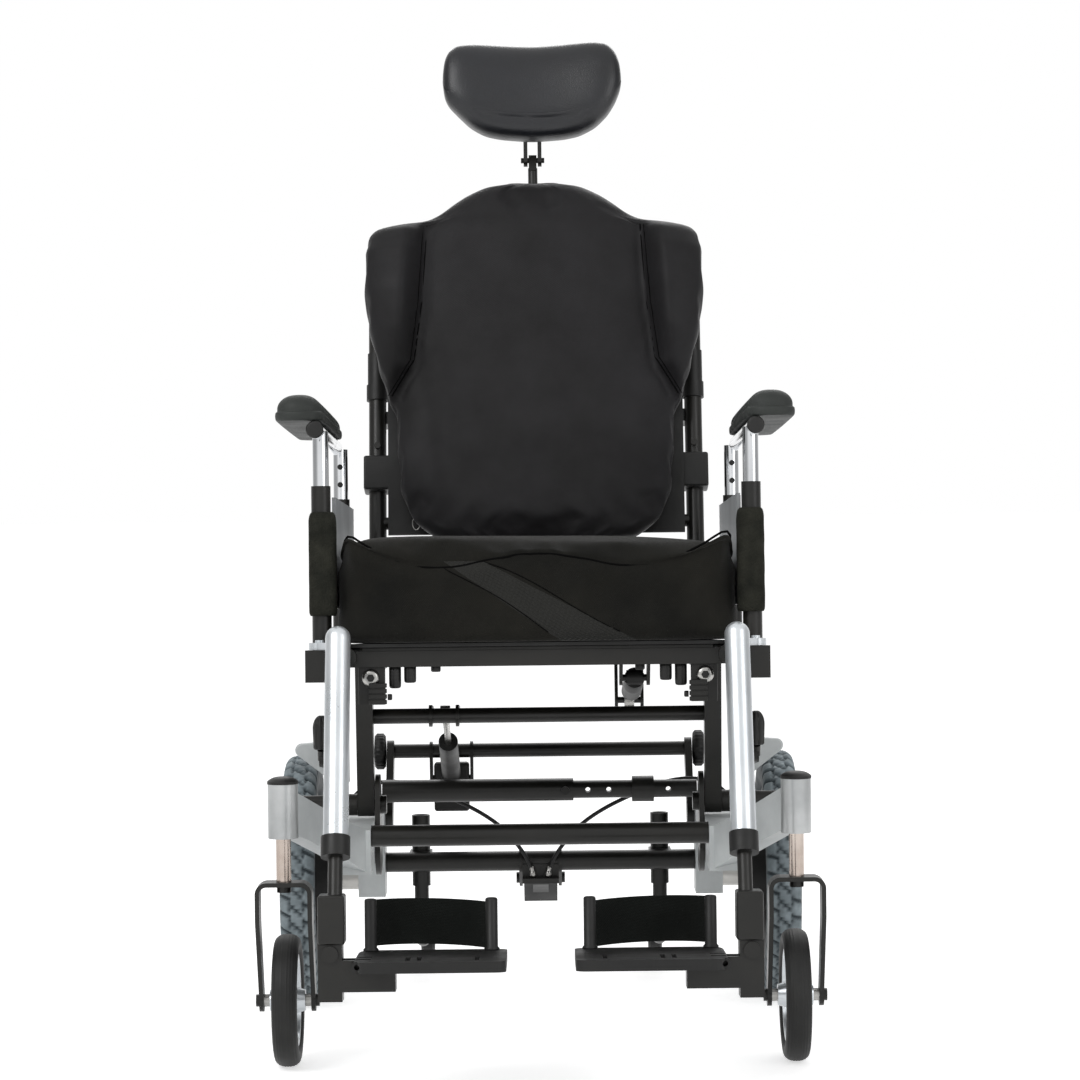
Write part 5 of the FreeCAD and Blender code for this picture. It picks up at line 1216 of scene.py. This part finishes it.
# radius = reach x profile x (1 - 0.08 |cos 5t|^4), hung under the front bar
def makeBuffers():
    turn = np.linspace(0, 2 * np.pi, 48, endpoint=False)
    share = np.array([0.0, 0.001, 0.25, 0.5, 0.75, 0.9, 0.97, 1.0])
    reach = np.array([0.94, 1, 1, 1, 1, 0.97, 0.86, 0.5]) * fittings["bufferReach"]
    radius = reach[:, None] * (1 - 0.08 * np.abs(np.cos(turn * 5)) ** 4)
    grids = []
    for side in (1, -1):
        for at, deep in fittings["buffers"]:
            level = np.broadcast_to((fittings["barFoot"] + 0.001 - share * deep)[:, None], radius.shape)
            grids.append(onSeat(np.stack([side * at + radius * np.cos(turn),
                                          fittings["barY"] + radius * np.sin(turn), level], 2)))
    buffers = surface("seatFrontBuffers", grids, finishes["black_plastic"])
    finishPiece(buffers, "seat_unit", "black_plastic")


# knurled discs on the rear frame's tube ends: radius = reach x (1 - 0.045 where cos 24t is over 0.1)
def makeFrameKnobs():
    turn = np.linspace(0, 2 * np.pi, 96, endpoint=False)
    low, high = fittings["knurlX"]
    along = low + (high - low) * np.array([0, 0.04, 0.14, 0.22, 0.78, 0.86, 0.96, 1.0])
    reach = fittings["knurlReach"] * np.array([[0.5, 0.86, 0.93, 1, 1, 0.93, 0.86, 0.4]]).T
    radius = reach * (1 - 0.045 * (np.cos(turn * fittings["knurls"]) > 0.1)[None] * (reach > 0.02))
    grids = [np.stack([np.broadcast_to(side * along[:, None], radius.shape),
                       fittings["knurlY"] + radius * np.cos(turn),
                       fittings["knurlZ"] + radius * np.sin(turn)], 2) for side in (1, -1)]
    finishPiece(surface("frameKnobs", grids, finishes["black_plastic"]), "base", "black_plastic")


# cast arms that reach over the rear tyres: a plate with a round tip and a slanted lower edge
def makeWheelArms():
    inner, outer = fittings["armX"]
    top, tip = fittings["armTop"], fittings["armTip"]
    turn = np.linspace(np.pi / 2, -np.pi / 3, 8)
    nose = np.column_stack([outer - tip + tip * np.cos(turn), top - tip + tip * np.sin(turn)])
    outline = np.vstack([[(inner, top + 0.004)], nose, [(inner + 0.026, top - 0.044), (inner, top - 0.050)]])
    for side, name in ((1, "left"), (-1, "right")):
        rows = [np.column_stack([side * outline[:, 0], np.full(len(outline), y), outline[:, 1]])
                for y in fittings["armY"]]
        bevelled(f"wheelArm_{name}", "base", "silver_frame", np.array(rows), 0.0025, 3)


# stepped ferrules at both ends of the brake cables
def makeFerrules():
    items = []
    for side in (1, -1):
        for near, far, reach in ((0, 1, 0.0044), (-1, -2, 0.0038)):
            start, end = (np.array(cable["route"][k]) * (side, 1, 1) for k in (near, far))
            steps = ((0.0, 0.9), (0.001, 1.0), (0.006, 1.0), (0.0065, 0.82), (0.0115, 0.82), (0.013, 0.68))
            items.append((start, unit(end - start), [(along, reach * share) for along, share in steps]))
    turnedPiece("cableFerrules", "base", "axle_steel", items, 20)


# a wire ring and two links hang from the zip at the lower edge of the back cushion
def makeZipPull():
    tree = meshTree(bpy.data.objects["backCushion"])
    start = onBack(np.array([fittings["zipX"], 0.05, fittings["zipZ"]]))
    hit = tree.ray_cast(Vector((fittings["zipX"], -1.0, start[2])), Vector((0, 1, 0)))[0]
    place = np.array(hit) + (0, 0.004, 0.0)
    turn = np.linspace(0, 2 * np.pi, 40, endpoint=False)
    up = np.array([0, 0, 1.0])
    grids = []
    for drop, wide, tall, across in fittings["zipLinks"]:
        loop = place - up * drop + wide * np.outer(np.cos(turn), across) + tall * np.outer(np.sin(turn), up)
        grids.append(swept(loop, circle(fittings["zipWire"], 8), np.cross(across, up), True))
    finishPiece(surface("zipPull", grids, finishes["axle_steel"], loop=True), "back_unit", "axle_steel")


makeArmFittings()
makeFrontBrackets()
makeBuffers()
makeFrameKnobs()
makeWheelArms()
makeFerrules()
makeZipPull()
print("fittings")
